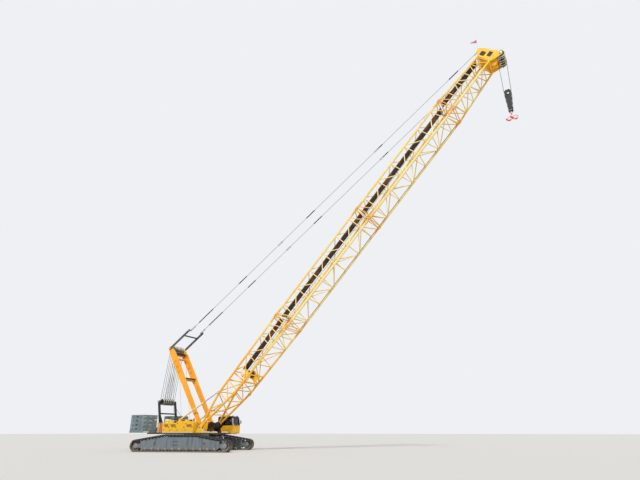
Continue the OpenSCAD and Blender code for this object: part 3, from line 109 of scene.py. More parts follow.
def on_mast(points):
    return tilted(points, MAST_FOOT, MAST_ANGLE)


def at_track(points, side):
    """Shifts by half the gauge and turns with the undercarriage. Side 0 is the carbody between."""
    p = np.asarray(points, float) + [0, side * GAUGE / 2, 0]
    c, s = math.cos(TRACK_TURN), math.sin(TRACK_TURN)
    return np.stack([p[..., 0] * c - p[..., 1] * s, p[..., 0] * s + p[..., 1] * c, p[..., 2]], -1)


def shaft_of(node):
    """The middle of a node's box, in the crane's own plane."""
    return np.mean(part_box(node), axis=0) * [1, 0, 1]


SHAFT_X, SHAFT_Z, MAST_LENGTH = 42.3, -1.0, 8.25
HEAD_SHAFT, MAST_HEAD = on_boom([SHAFT_X, 0, SHAFT_Z]), on_mast([MAST_LENGTH, 0, 0])
BAIL_SHAFT = shaft_of("bail_sheaves")
print("head shaft", HEAD_SHAFT.round(3), "mast head", MAST_HEAD.round(3), "bail shaft", BAIL_SHAFT.round(3))

# %% [markdown]
# A material's colour depends on several patterns at once: dust that gathers low down, streaks under
# edges, fine speckle. Sums and products are easier to read than long chains of nodes, so `Wire`
# stands for a value in a material, and each operator adds one Math node.

# %% Values that flow through a material
def plug(tree, slot, value):
    """Puts a number, colour or wire into a socket."""
    if isinstance(value, Wire):
        tree.links.new(value.socket, slot)
    else:
        slot.default_value = value


def add_node(tree, kind, settings=None, sockets=None, out=0):
    """One node: its settings first, then the values or wires of its sockets, by name or number."""
    node = tree.nodes.new(kind)
    for key, value in (settings or {}).items():
        setattr(node, key, value)
    for key, value in (sockets or {}).items():
        plug(tree, node.inputs[key], value)
    return Wire(tree, node.outputs[out])


def calc(tree, operation, *values):
    return add_node(tree, "ShaderNodeMath", {"operation": operation}, dict(enumerate(values)))


class Wire:
    """One output socket, with Python's operators."""

    def __init__(self, tree, socket):
        self.tree, self.socket = tree, socket

    def __add__(self, other):
        return calc(self.tree, "ADD", self, other)

    def __sub__(self, other):
        return calc(self.tree, "SUBTRACT", self, other)

    def __rsub__(self, other):
        return calc(self.tree, "SUBTRACT", other, self)

    def __mul__(self, other):
        return calc(self.tree, "MULTIPLY", self, other)

    def __gt__(self, other):
        return calc(self.tree, "GREATER_THAN", self, other)

    __radd__, __rmul__ = __add__, __mul__

    def held(self):
        """The value, kept between 0 and 1."""
        return add_node(self.tree, "ShaderNodeClamp", None, {0: self})

    def ramp(self, low, high):
        """0 below low, 1 above high, and a smooth step between."""
        return add_node(self.tree, "ShaderNodeMapRange", {"interpolation_type": "SMOOTHSTEP"},
                        {0: self, 1: low, 2: high})


print("a wire's own steps", [name for name in vars(Wire) if not name.startswith("_")])

# %% [markdown]
# `Finish` builds one material. Patterns are placed by object coordinates, which are metres in the
# crane's own frame, so a pattern's scale is simply how many times it repeats in a metre. Unwrapping
# every piece would give the same at far more work, and no seam shows this way.

# %% A material under construction
class Finish:
    def __init__(self, name):
        self.material = bpy.data.materials.new(name)
        self.material.use_nodes = True
        self.tree = self.material.node_tree
        self.tree.nodes.clear()
        self.shader = self.tree.nodes.new("ShaderNodeBsdfPrincipled")
        output = self.tree.nodes.new("ShaderNodeOutputMaterial")
        self.tree.links.new(self.shader.outputs[0], output.inputs[0])
        self.place = self.node("ShaderNodeTexCoord", out="Object")

    def node(self, *made_of, out=0):
        return add_node(self.tree, *made_of, out=out)

    def moved(self, stretch=(1, 1, 1), turn=(0, 0, 0)):
        return self.node("ShaderNodeMapping", None, {"Vector": self.place, "Rotation": turn, "Scale": stretch})

    def noise(self, scale, detail=2.0, stretch=(1, 1, 1), rough=0.5):
        return self.node("ShaderNodeTexNoise", None,
                         {"Vector": self.moved(stretch), "Scale": scale, "Detail": detail, "Roughness": rough})

    def axis(self, name):
        return self.node("ShaderNodeSeparateXYZ", None, {"Vector": self.place}, out="XYZ".index(name))

    def along_boom(self):
        """Metres from the boom's foot along it: x·cos + z·sin, less the same sum at the foot."""
        c, s = math.cos(BOOM_ANGLE), math.sin(BOOM_ANGLE)
        return self.axis("X") * c + self.axis("Z") * s + (-BOOM_FOOT[0] * c - BOOM_FOOT[2] * s)

    def round_axis(self, centre):
        """Distance from a line that runs across the crane: the root of x² + z²."""
        x, z = self.axis("X") + (-centre[0]), self.axis("Z") + (-centre[2])
        return calc(self.tree, "SQRT", x * x + z * z)

    def mix(self, mask, first, second):
        return self.node("ShaderNodeMix", {"data_type": "RGBA"}, {0: mask, 6: first, 7: second}, out=2)

    def finished(self, colour, roughness, height=None, strength=0.2, distance=0.003, **sockets):
        """Fills the shader's sockets, adds the bump of a height, and hands the material over."""
        sockets.update(Base_Color=colour, Roughness=roughness)
        if height is not None:
            sockets["Normal"] = self.node("ShaderNodeBump", None,
                                          {"Strength": strength, "Distance": distance, "Height": height})
        for key, value in sockets.items():
            plug(self.tree, self.shader.inputs[key.replace("_", " ")], value)
        return self.material


def ink(red, green, blue):
    """A colour in per cent, as it looks on the screen, in the linear numbers that Blender wants."""
    c = np.array([red, green, blue], float) / 100
    return (*np.where(c <= 0.04045, c / 12.92, ((c + 0.055) / 1.055) ** 2.4).tolist(), 1.0)


def shade(colour, share):
    """The same colour, darker by a share."""
    return ink(*[c * share for c in colour])


print("middle grey in linear numbers", round(ink(50, 50, 50)[0], 3))

# %% [markdown]
# Sprayed machine paint is never one colour. Sun bleaches it in broad patches, rain draws streaks
# down it, dust settles on the lowest two metres, and stones chip it to the dark primer. A painted
# image would need an unwrap of 46 solids. Noises of very different scales, added in that order,
# give the same wear at any distance.

# %% Painted steel
CHIPS = 0.71


def painted(name, colour, faded, grime, rough=0.42, dust_height=2.0, areas=()):
    """Areas are pairs of a mask, as a function of the finish, and the colour sprayed there."""
    f = Finish(name)
    patches, speckle, streaks = f.noise(0.33, 3.0), f.noise(7.0, 4.0), f.noise(1.0, 3.0, (5.0, 5.0, 0.35))
    coat = f.mix((patches * 1.5 - 0.35).held(), ink(*colour), ink(*faded))
    for mask, other in areas:
        coat = f.mix(mask(f), coat, ink(*other))
    streaked = f.mix(streaks.ramp(0.52, 0.78) * 0.28, coat, ink(*grime))
    low = (1.0 - f.axis("Z") * (1.0 / dust_height)).held()
    dusty = f.mix((low * speckle * 1.1).held(), streaked, ink(60, 54, 44))
    bare = f.noise(19.0, 5.0, rough=0.62) > CHIPS
    return f.finished(f.mix(bare * 0.75, dusty, ink(20, 17, 15)),
                      (speckle * 0.22 + low * 0.25 + (rough - 0.08)).held(),
                      f.noise(26.0, 3.0) + patches * 3.0, 0.22, 0.004)


print("paint recipe ready, chips where a noise passes", CHIPS)

# %% [markdown]
# The crane is one yellow by name, but not in the photograph. The boom is a paler cream, which is painted
# sunlight on the same yellow, and its joints and both its ends are deeper. The mast is a deeper orange, which
# is painted shade, the cab's top is black, and the deck is painted black as shade below its top and behind the
# houses. Masks on the place choose these colours inside one paint, so no solid has to be cut up.

# %% The crane's paints
# The last of these colours is the near black of the deck's painted shade.
YELLOW, SUNNY_YELLOW, OLD_OIL, PAINTED_SHADE_BLACK = (97, 73, 10), (98, 79, 22), (58, 37, 8), (10, 10, 11)
DECK_TOP, HOUSE_FRONT, CAB_WAIST = 1.53, 1.70, 2.165


def near_joint(f):
    """The sections' ends are newer, deeper paint: 1 within 0.7 m of a joint, every 12 m of the boom."""
    part = calc(f.tree, "FRACT", f.along_boom() * (1 / SECTION) + 0.5)
    away = calc(f.tree, "ABSOLUTE", part - 0.5)
    return (1.0 - away.ramp(0.05, 0.075)) * 0.8


def butt_part(f):
    return 1.0 - f.along_boom().ramp(6.5, 10.8)


def head_part(f):
    return f.along_boom().ramp(39.8, 40.6)


crane_yellow = painted("crane_yellow", YELLOW, SUNNY_YELLOW, OLD_OIL)
# The boom's cream is painted sunlight on the crane's yellow. Its joints and both its ends keep a deeper yellow.
boom_cream_painted_sunlight = painted("boom_cream_painted_sunlight", (96, 83, 44), (97, 90, 66), (74, 52, 24), dust_height=1.0,
                      areas=[(near_joint, (95, 70, 20)), (butt_part, (97, 72, 16)),
                             (head_part, (99, 78, 22))])
# The mast's deeper orange is painted shade on the crane's yellow.
mast_orange = painted("mast_orange", (94, 62, 9), (96, 69, 18), (58, 30, 6), dust_height=1.0)
cab_paint = painted("cab_paint", YELLOW, SUNNY_YELLOW, OLD_OIL,
                    areas=[(lambda f: f.axis("Z") > CAB_WAIST, (9, 10, 12))])
deck_paint = painted("deck_paint", YELLOW, SUNNY_YELLOW, OLD_OIL,
                     areas=[(lambda f: (f.axis("X") > HOUSE_FRONT) * (f.axis("Z") > DECK_TOP), (95, 89, 66)),
                            # Below the deck's top and behind the houses the deck is painted black: painted
                            # shade between the deck and the tracks, and behind the houses.
                            (lambda f: 1.0 - (f.axis("Z") > DECK_TOP), PAINTED_SHADE_BLACK),
                            (lambda f: 1.0 - (f.axis("X") > -2.75), PAINTED_SHADE_BLACK)])
backstop_cream = painted("backstop_cream", (94, 84, 58), (96, 90, 72), (66, 50, 28))
post_tan = painted("post_tan", (84, 62, 34), (90, 74, 52), (45, 27, 12))
post_orange = painted("post_orange", (84, 48, 8), (88, 56, 16), (40, 22, 6))
deck_black = painted("deck_black", (13, 13, 14), (20, 20, 21), (9, 8, 7), 0.55)
winch_grey = painted("winch_grey", (24, 25, 26), (32, 33, 34), (12, 11, 10), 0.5)
bleached = painted("bleached", (90, 86, 74), (94, 92, 84), (62, 48, 28), 0.5, 1.6)
pale_lime = painted("pale_lime", (90, 88, 40), (93, 92, 62), (60, 50, 20), 0.45)
louvre_brown = painted("louvre_brown", (42, 25, 7), (52, 34, 10), (15, 10, 5), 0.5)
walkway_brown = painted("walkway_brown", (36, 22, 12), (48, 32, 20), (16, 10, 7), 0.55, 1.0)
# This near-black maroon is partly the winch's own paint and partly painted shade inside the boom's foot.
maroon_with_painted_shade = painted("maroon_with_painted_shade", (17, 6, 6), (24, 10, 8), (6, 3, 3), 0.55)
block_black = painted("block_black", (6, 6, 6.5), (10, 10, 10), (3, 3, 3), 0.5)
print("paints", len(bpy.data.materials))

# %% [markdown]
# Tracks and slabs are rougher. The track steel is grey with dried mud in its hollows and bright
# where it rubs, and the slabs are cast and painted grey, with chalky level bands. One recipe serves
# both, because each is a base colour under mud, darker runs and a few rubbed spots.

# %% Track steel and ballast
def earthy(name, colour, mud, shine, rough, mud_from, low_mud=0.35, runs=(5.0, 5.0, 0.4), depth=0.6):
    """Mud lies where the clods, the grit and the nearness to the ground, times low_mud, add up to
    more than mud_from. Runs is the stretch of the darker streaks, and depth is how dark they get."""
    f = Finish(name)
    clods, grit = f.noise(2.2, 5.0, rough=0.6), f.noise(24.0, 4.0)
    low = (1.0 - f.axis("Z") * 0.7).held()
    base = f.mix((f.noise(0.7, 2.0) * 1.4 - 0.3).held(), ink(*colour), shade(colour, 0.78))
    base = f.mix(f.noise(1.0, 4.0, runs).ramp(0.48, 0.70) * depth, base, shade(colour, 0.52))
    caked = f.mix((clods + low * low_mud + grit * 0.2).ramp(mud_from, mud_from + 0.28) * 0.85, base, ink(*mud))
    rubbed = (f.noise(11.0, 3.0) > 0.66) * shine
    return f.finished(f.mix(rubbed, caked, ink(66, 67, 68)), (grit * 0.3 + rough).held(),
                      clods * 2.0 + grit, 0.45, 0.008, Metallic=(rubbed * 0.6).held())


LEVEL = (1.1, 1.1, 9.0)
track_steel = earthy("track_steel", (15, 15, 15.5), (45, 39, 32), 0.16, 0.55, 1.02, 0.85)
frame_grey = earthy("frame_grey", (45, 49, 51), (44, 41, 38), 0.06, 0.45, 0.92, 0.45)
ballast_grey = earthy("ballast_grey", (50, 56, 58), (70, 73, 73), 0.03, 0.55, 0.76, 0.0, LEVEL, 0.28)
slab_light = earthy("slab_light", (62, 67, 69), (74, 75, 74), 0.02, 0.55, 0.80, 0.0, LEVEL, 0.28)
print("rough castings", track_steel.name, frame_grey.name, ballast_grey.name, slab_light.name)

# %% [markdown]
# Bare metal needs reflections with fine streaks: rods, rollers, pins and sheaves. Wire rope is the
# same steel under grease, with the lay of its strands as a slanting ripple. Rubber and plastic only
# need a fine grain, so that they do not look like dark glass.

# %% Bare steel, rope, rubber
def metal(name, colour, rough, grain=(3, 3, 3), metallic=0.9, stain=(30, 24, 18), stained=0.66):
    f = Finish(name)
    brushed, spots = f.noise(30.0, 3.0, grain), f.noise(4.0, 4.0)
    return f.finished(f.mix(spots.ramp(stained, stained + 0.2) * 0.6, ink(*colour), ink(*stain)),
                      (brushed * 0.2 + spots * 0.12 + rough).held(), brushed, 0.12, 0.002, Metallic=metallic)


worked_steel = metal("worked_steel", (62, 63, 64), 0.22)
galvanised = metal("galvanised", (70, 71, 71), 0.32, stain=(55, 55, 53))
chrome_rod = metal("chrome_rod", (80, 81, 82), 0.06, (1, 1, 12), stained=0.75)
roller_grey = metal("roller_grey", (55, 53, 51), 0.5, metallic=0.2, stain=(36, 32, 27), stained=0.50)
stay_steel = metal("stay_steel", (74, 75, 76), 0.36, metallic=0.3, stain=(58, 59, 60))


def stranded(name, colour):
    """Wire rope: strands show as a saw of slanting bands, made by a wave turned across the rope."""
    f = Finish(name)
    lay = f.node("ShaderNodeTexWave", {"wave_type": "BANDS", "bands_direction": "DIAGONAL"},
                 {"Vector": f.place, "Scale": 9.0, "Distortion": 0.3})
    grease = f.noise(3.0, 3.0)
    return f.finished(f.mix((lay * 0.5 + grease * 0.5).held(), ink(*colour), shade(colour, 0.45)),
                      (grease * 0.2 + 0.42).held(), lay, 0.5, 0.003, Metallic=0.35)


def dull(name, colour, rough, grain=60.0, strength=0.25):
    f = Finish(name)
    fine, broad = f.noise(grain, 4.0), f.noise(3.0, 2.0)
    paler = [min(100, c * 1.5 + 2) for c in colour]
    return f.finished(f.mix((broad * 1.2 - 0.2).held(), ink(*colour), ink(*paler)),
                      (fine * 0.2 + rough).held(), fine, strength, 0.002)


wire_rope = stranded("wire_rope", (20, 20, 21))
rubber = dull("rubber", (5, 5, 5.5), 0.6)
plastic_black = dull("plastic_black", (7, 7, 7.5), 0.4, 120.0, 0.12)
lamp_grey = dull("lamp_grey", (34, 35, 36), 0.4, 80.0, 0.15)
print("steels and plastics", worked_steel.name, wire_rope.name, rubber.name)

# %% [markdown]
# The walkway is a steel grating, rusty brown where boots and weather have taken the paint. A brick pattern
# gives its bars at no cost in faces, and the slots between the bars are painted near black as shade. The glass
# is tinted dark. The hook wears warning stripes, and its block wears them on its bands: a slanting distance,
# cut by its fraction.

# %% Grating, glass, stripes
def grating(name):
    f = Finish(name)
    bars = f.node("ShaderNodeTexBrick", {"offset": 0.0},
                  {"Vector": f.moved(turn=(0, BOOM_ANGLE, 0)), "Scale": 12.0, "Mortar Size": 0.03,
                   "Brick Width": 0.5, "Row Height": 0.25}, out=1)
    rust = f.noise(2.0, 4.0)
    steel = f.mix(rust.ramp(0.4, 0.65), ink(20, 9, 7), ink(33, 17, 10))
    worn = f.mix(f.noise(0.55, 2.0).ramp(0.54, 0.62) * 0.9, steel, ink(62, 38, 16))
    # The slots between the bars, which are the brick pattern's mortar, are painted near black as shade.
    return f.finished(f.mix(bars, worn, ink(7, 4, 4)), (rust * 0.3 + 0.5).held(), 1.0 - bars, 0.6, 0.01)


def tinted_glass(name):
    f = Finish(name)
    smear = f.noise(5.0, 3.0)
    return f.finished(f.mix(smear.ramp(0.45, 0.8) * 0.25, ink(5, 9, 15), ink(24, 29, 34)),
                      (smear * 0.08 + 0.02).held(), Alpha=0.66, Coat_Weight=0.6)


def striped(name, first, second, width, slope):
    """Stripes: the fraction of (x·slope + z)/width picks one of two paints."""
    f = Finish(name)
    band = calc(f.tree, "FRACT", (f.axis("X") * slope + f.axis("Z")) * (1.0 / width)) > 0.5
    worn = f.noise(9.0, 4.0)
    return f.finished(f.mix(worn.ramp(0.6, 0.8) * 0.5, f.mix(band, ink(*first), ink(*second)), ink(20, 18, 17)),
                      (worn * 0.25 + 0.3).held(), worn)


brown_grating, cab_glass_tint = grating("grating"), tinted_glass("tinted_glass")
hook_stripes = striped("hook_stripes", (83, 30, 27), (96, 84, 82), 0.34, 0.6)
block_stripes = striped("block_stripes", (6, 6, 7), (88, 87, 80), 0.50, 0.7)
print("striped", hook_stripes.name, block_stripes.name)

# %% [markdown]
# Two finishes remain. Cloth is woven, so its bump is two sets of fine waves that cross, and it has
# the soft sheen of fibres. A sheave is black in its web and worn bright in the rope's groove, which
# a ramp on the distance from its shaft draws without a second material.

# %% Cloth and sheaves
def cloth(name, colour, thread, sheen):
    """A weave: two waves across each other, whose sum is high where one thread passes over. The low places
    between the threads get the darker colour as painted shade, mixed with random wear.
    """
    f = Finish(name)
    warp, weft = (f.node("ShaderNodeTexWave", {"bands_direction": way},
                         {"Vector": f.place, "Scale": thread}, out=1) for way in "XZ")
    worn = f.noise(6.0, 3.0)
    # Darker in the weave's low places: painted shade between the threads, mixed with random wear.
    return f.finished(f.mix((warp * 0.3 + weft * 0.3 + worn * 0.4).held(), shade(colour, 0.7), ink(*colour)),
                      0.85, warp + weft, 0.35, 0.001, Sheen_Weight=sheen)


def sheave_finish(name, centre, web_radius):
    """1 in the rim and 0 in the web: a ramp on the distance from the shaft."""
    f = Finish(name)
    rim_mask = f.round_axis(centre).ramp(web_radius - 0.015, web_radius + 0.015)
    worn = f.noise(9.0, 3.0)
    return f.finished(f.mix(rim_mask, ink(7, 6, 6), ink(80, 78, 73)),
                      (worn * 0.3 + 0.3).held(), worn, Metallic=rim_mask * 0.4)


seat_cloth = cloth("seat_cloth", (10, 10, 11), 60.0, 0.5)
pennant_red = cloth("pennant_red", (88, 50, 50), 90.0, 0.3)
head_sheave = sheave_finish("head_sheave", HEAD_SHAFT, 0.31)
bail_sheave = sheave_finish("bail_sheave", BAIL_SHAFT, 0.26)
mast_sheave = sheave_finish("mast_sheave", shaft_of("mast_sheaves"), 0.26)
print("finishes", len(bpy.data.materials))

# %% [markdown]
# Every CAD node gets one of these finishes in place of the plain colour that it was packed with. A
# table is the shortest way to say which, and the counts show at once whether a node was forgotten.

# %% Dress the CAD nodes
DRESS = {
    track_steel: "track_right track_left",
    roller_grey: "sprocket_right sprocket_left",
    frame_grey: "side_frame_right side_frame_left carbody",
    worked_steel: "rollers_right rollers_left idler_right idler_left slew_ring",
    chrome_rod: "jack_cylinders backstop_rods",
    crane_yellow: "house_right house_left boom_winch",
    deck_paint: "deck",
    cab_paint: "cab_shell cab_door",
    boom_cream_painted_sunlight: "boom_butt boom_insert_lower boom_insert_upper boom_head",
    backstop_cream: "backstop_tubes",
    mast_orange: "mast",
    ballast_grey: "counterweight_tray counterweight_right counterweight_left",
    maroon_with_painted_shade: "hoist_winch",
    deck_black: "engine rear_bail",
    block_black: "hook_block",
    plastic_black: "cab_seat",
    stay_steel: "pendant_stays",
    winch_grey: "luffing_winch pendant_links",
    bail_sheave: "bail_sheaves",
    mast_sheave: "mast_sheaves",
    head_sheave: "head_sheaves",
    wire_rope: "hook_falls",
    brown_grating: "boom_walkway",
    cab_glass_tint: "cab_glass cab_door_glass",
    hook_stripes: "hook",
    galvanised: "pennant",
}
for finish, members in DRESS.items():
    for member in members.split():
        nodes[member].data.materials.clear()
        nodes[member].data.materials.append(finish)
print("dressed", sum(len(m.split()) for m in DRESS.values()), "of", len(nodes))

# %% [markdown]
# The floor is pale and plain. A broad soft sun from the camera's left shoulder models the boom's
# tubes, and a white sky fills the shadows. Area lamps would have to be 40 m wide to do the same. The
# sky seen directly is paler than the light it gives, so the background stays pale and even.

# %% Floor and light
FLOOR_MIDDLE, FLOOR_HALF = (15, 0), 400
mesh = bpy.data.meshes.new("floor")
mesh.from_pydata([(FLOOR_MIDDLE[0] + x * FLOOR_HALF, FLOOR_MIDDLE[1] + y * FLOOR_HALF, 0)
                  for x, y in ((-1, -1), (1, -1), (1, 1), (-1, 1))], [], [(0, 1, 2, 3)])
mesh.materials.append(Finish("pale_floor").finished(ink(86, 85, 83), 0.9))
floor = bpy.data.objects.new("floor", mesh)
bpy.context.scene.collection.objects.link(floor)

sun = bpy.data.lights.new("sun", "SUN")
sun.energy, sun.angle = 2.6, math.radians(9)
placed(sun, (0, 0, 0), (-0.35, 0.62, -0.62))

world = bpy.data.worlds.new("studio")
bpy.context.scene.world = world
world.use_nodes = True
sky = world.node_tree
backdrop = sky.nodes["Background"]
backdrop.inputs[0].default_value = (0.93, 0.95, 0.98, 1)
seen = sky.nodes.new("ShaderNodeLightPath").outputs
camera_ray, glossy_ray, through_ray = (
    Wire(sky, seen[f"Is {kind} Ray"]) for kind in ("Camera", "Glossy", "Transmission"))
direct = camera_ray + glossy_ray + through_ray
plug(sky, backdrop.inputs[1], direct.held() * 0.42 + 0.50)
print("sun", sun.energy, "sky", tuple(round(c, 2) for c in backdrop.inputs[0].default_value))

# %% [markdown]
# Every added piece is a surface over a grid of points, worked out for the whole array at once.
# Placing vertices one by one would be slow and hard to read. A shape is kept as three arrays,
# vertices, quads and triangles, so that hundreds of copies can be joined without a loop over points.

# %% Shapes as arrays
def grid_quads(rows, columns, m, n):
    """Quads of an (m, n) grid: each point, its neighbour in the ring, and the same two one ring on."""
    i, j = np.meshgrid(np.arange(rows), np.arange(columns), indexing="ij")
    k, l = (j + 1) % n, (i + 1) % m
    return np.stack([i * n + j, i * n + k, l * n + k, l * n + j], -1).reshape(-1, 4)


def skinned(points, ends="fans"):
    """Skins an (m, n, 3) grid that closes round its second direction. The end rings get a fan to
    their own centre, stay open, or are looped, which joins the last ring to the first."""
    m, n = points.shape[:2]
    verts, tris = points.reshape(-1, 3), np.zeros((0, 3), int)
    if ends == "fans":
        verts = np.vstack([verts, points[0].mean(0), points[-1].mean(0)])
        a, b = np.arange(n), (np.arange(n) + 1) % n
        tris = np.vstack([np.stack([np.full(n, m * n), b, a], -1),
                          np.stack([np.full(n, m * n + 1), (m - 1) * n + a, (m - 1) * n + b], -1)])
    return verts, grid_quads(m if ends == "looped" else m - 1, n, m, n), tris


def joined(shapes):
    """Several shapes as one: indices are shifted by the vertices before them."""
    starts = np.cumsum([0] + [len(s[0]) for s in shapes[:-1]])
    return (np.vstack([s[0] for s in shapes]),
            *(np.vstack([s[k] + start for s, start in zip(shapes, starts)]) for k in (1, 2)))


def repeated(places, quads, tris):
    """One shape from a (copies, vertices, 3) array: each copy's indices start after the last one's."""
    steps = (np.arange(len(places)) * places.shape[1])[:, None, None]
    return places.reshape(-1, 3), (quads[None] + steps).reshape(-1, 4), (tris[None] + steps).reshape(-1, 3)


def copies(shape, offsets):
    return repeated(shape[0][None] + np.reshape(offsets, (-1, 1, 3)), *shape[1:])


def carried(shape, move):
    """The shape with a function applied to all its vertices."""
    return move(shape[0]), *shape[1:]


def both(shape):
    """The shape and its mirror image across the crane, whose faces are turned to point outwards."""
    return joined([shape, (shape[0] * [1, -1, 1], shape[1][:, ::-1], shape[2][:, ::-1])])


def mm(text):
    """Pairs of whole millimetres, such as a profile's radius and height, as rows of metres."""
    return np.array(text.split(), float).reshape(-1, 2) / 1000


print("a ring of four rows", [part.shape for part in skinned(np.zeros((4, 8, 3)))])

# %% [markdown]
# Five kinds of surface make nearly everything: a tube along a path, a profile turned on a lathe, a
# plate with softened edges, a block, and a band that closes on itself. Tubes come first. A curve
# object with a bevel would do for them, but its mesh is only known to Blender, and here the points of
# every tube can still be carried, mirrored and copied.

# %% Tubes and pipes
def ring_round(side, up, sides):
    """Unit rings across a path: side · cos a + up · sin a."""
    a = np.linspace(0, 2 * np.pi, sides, endpoint=False)[:, None]
    return side[:, None] * np.cos(a) + up[:, None] * np.sin(a)


def tube(path, radius, sides=8):
    """P(s, a) = path(s) + radius(s) · (side · cos a + up · sin a). Side is the cross product of a
    fixed helper and the path's tangent, so the rings turn as little as possible."""
    path = np.asarray(path, float)
    step = np.gradient(path, axis=0)
    tangent = step / np.linalg.norm(step, axis=1, keepdims=True)
    helper = np.array([0, 1, 0]) if abs(tangent[:, 1]).max() < 0.9 else np.array([0, 0, 1.0])
    if abs(tangent @ helper).max() > 0.98:
        helper = np.array([1.0, 0, 0])
    side = np.cross(helper, tangent)
    side /= np.linalg.norm(side, axis=1, keepdims=True)
    widths = np.broadcast_to(np.asarray(radius, float), len(path))[:, None, None]
    return skinned(path[:, None] + widths * ring_round(side, np.cross(tangent, side), sides))


def rod(x, z, half, radius, sides=8):
    """A straight tube across the crane."""
    return tube([[x, -half, z], [x, half, z]], radius, sides)


def bent(corners, radius, bend=0.08, steps=5):
    """A pipe through corners, each corner replaced by a curve: the quadratic blend of the points one
    bend length before it, at it and after it."""
    corners = np.asarray(corners, float)
    t = np.linspace(0, 1, steps)[:, None]
    path = [corners[:1]]
    for before, here, after in zip(corners, corners[1:], corners[2:]):
        a, b = (here + (far - here) / np.linalg.norm(far - here) * bend for far in (before, after))
        path.append((1 - t) ** 2 * a + 2 * t * (1 - t) * here + t ** 2 * b)
    return tube(np.vstack(path + [corners[-1:]]), radius)


print("a tube's vertices", len(rod(0, 0, 1, 0.1)[0]))

# %% [markdown]
# Turned parts, plates and blocks are drawn flat, as u and v with a depth, and ORDER stands them along
# an axis. Blender's own cylinders and cubes have dead sharp edges, and real steel never has, so each
# form gets its bevel here.

# %% Lathe, plate and block
ORDER = {"Z": [0, 1, 2], "X": [2, 0, 1], "Y": [1, 2, 0]}


def lathe(profile, place, sides=24, axis="Y"):
    """P(h, a) = place + axis · h + r(h) · (cos a, sin a) across the axis; profile rows are [r, h]."""
    r, h = np.asarray(profile, float).T[..., None]
    a = np.linspace(0, 2 * np.pi, sides, endpoint=False)
    return skinned(np.stack([r * np.cos(a), r * np.sin(a), h + 0 * a], -1)[..., ORDER[axis]] + place)


def anticlockwise(outline):
    """The outline with its inside on the left, by the sign of its area."""
    p = np.asarray(outline, float)
    q = np.roll(p, -1, 0)
    return p if np.sum(p[:, 0] * q[:, 1] - q[:, 0] * p[:, 1]) > 0 else p[::-1]


def plate(outline, low, high, bevel=0.006, axis="Y"):
    """An outline [u, v] given thickness from low to high along an axis, its edges drawn in by a bevel:
    four rings at low, low + bevel, high - bevel and high, the outer two shrunk towards the middle."""
    outline = anticlockwise(outline)
    middle = outline.mean(0)
    inner = middle + (outline - middle) * (1 - bevel / np.linalg.norm(outline - middle, axis=1, keepdims=True))
    bevel = min(bevel, (high - low) / 3)
    rings = ((inner, low), (outline, low + bevel), (outline, high - bevel), (inner, high))
    return skinned(np.array([np.column_stack([r, np.full(len(r), d)]) for r, d in rings])[..., ORDER[axis]])


def round_corners(u0, u1, v0, v1, radius, steps=3):
    """A rectangle's outline: at each corner a quarter circle, turned by as many quarters."""
    a = np.linspace(0, np.pi / 2, steps)
    quarter = np.column_stack([np.cos(a), np.sin(a)]) * radius
    corners = ((u1 - radius, v1 - radius, 1, 0), (u0 + radius, v1 - radius, 0, 1),
               (u0 + radius, v0 + radius, -1, 0), (u1 - radius, v0 + radius, 0, -1))
    return np.vstack([quarter @ np.array([[c, s], [-s, c]]) + [u, v] for u, v, c, s in corners])


def block(low, high, radius=0.01, axis="Y"):
    """A box from corner to corner with rounded long edges and bevelled ends, its length along an axis."""
    (u0, v0, d0), (u1, v1, d1) = np.array([low, high], float)[:, np.argsort(ORDER[axis])]
    radius = min(radius, (u1 - u0) / 2.2, (v1 - v0) / 2.2)
    return plate(round_corners(u0, u1, v0, v1, radius), d0, d1, min(radius, (d1 - d0) / 3), axis)


print("a block's vertices", len(block((0, 0, 0), (1, 1, 1))[0]))

# %% [markdown]
# Seals, flanges and door frames are bands that close on themselves both ways, like a tyre. A band is
# a small rectangle carried round any outline, and it needs no ends.

# %% Closed bands
def circle(u, v, radius, steps=28):
    a = np.linspace(0, 2 * np.pi, steps, endpoint=False)
    return np.column_stack([u + radius * np.cos(a), v + radius * np.sin(a)])


def rim(outline, width, low, high, axis="Y"):
    """Corner = outline point + across · in-plane normal, at depth low or high. The four corners of
    the band's section, in order round it, give the grid's first direction."""
    outline = anticlockwise(outline)
    along = np.roll(outline, -1, 0) - np.roll(outline, 1, 0)
    normal = np.column_stack([along[:, 1], -along[:, 0]]) / np.linalg.norm(along, axis=1, keepdims=True)
    section = [(-width / 2, high), (-width / 2, low), (width / 2, low), (width / 2, high)]
    grid = np.array([np.column_stack([outline + normal * a, np.full(len(outline), d)]) for a, d in section])
    return skinned(grid[..., ORDER[axis]], "looped")


print("a rim's rings", rim(circle(0, 0, 1), 0.1, 0, 1)[0].shape)

# %% [markdown]
# Bolts are what gives a big machine its scale. A six-sided head is turned once and copied to its
# places, and the round caps over pins and shafts carry a ring of them.

# %% Bolts and bolted caps
BOLT = np.array([[1.0, -0.2], [1.0, 0.6], [0.75, 0.85]])


def bolts(places, size=0.012, axis="Y"):
    return copies(lathe(BOLT * [size, size * 1.1], (0, 0, 0), 6, axis), places)


def bolt_ring(centre, radius, count, size=0.012, axis="Y"):
    """Bolts at equal angles round a centre, in the plane across the axis, which is Y or Z."""
    a = np.linspace(0, 2 * np.pi, count, endpoint=False)
    spread = [np.cos(a), np.sin(a), 0 * a] if axis == "Z" else [np.cos(a), 0 * a, np.sin(a)]
    return bolts(np.asarray(centre) + radius * np.stack(spread, -1), size, axis)


def bolted_cap(profile, place, sides, face, radius, count, size=0.010):
    """A turned cap, and a ring of bolts on its face that far out from its place."""
    return joined([lathe(mm(profile), place, sides),
                   bolt_ring(np.add(place, [0, face, 0]), radius, count, size)])


print("one bolt's vertices", len(bolts([[0, 0, 0]])[0]))

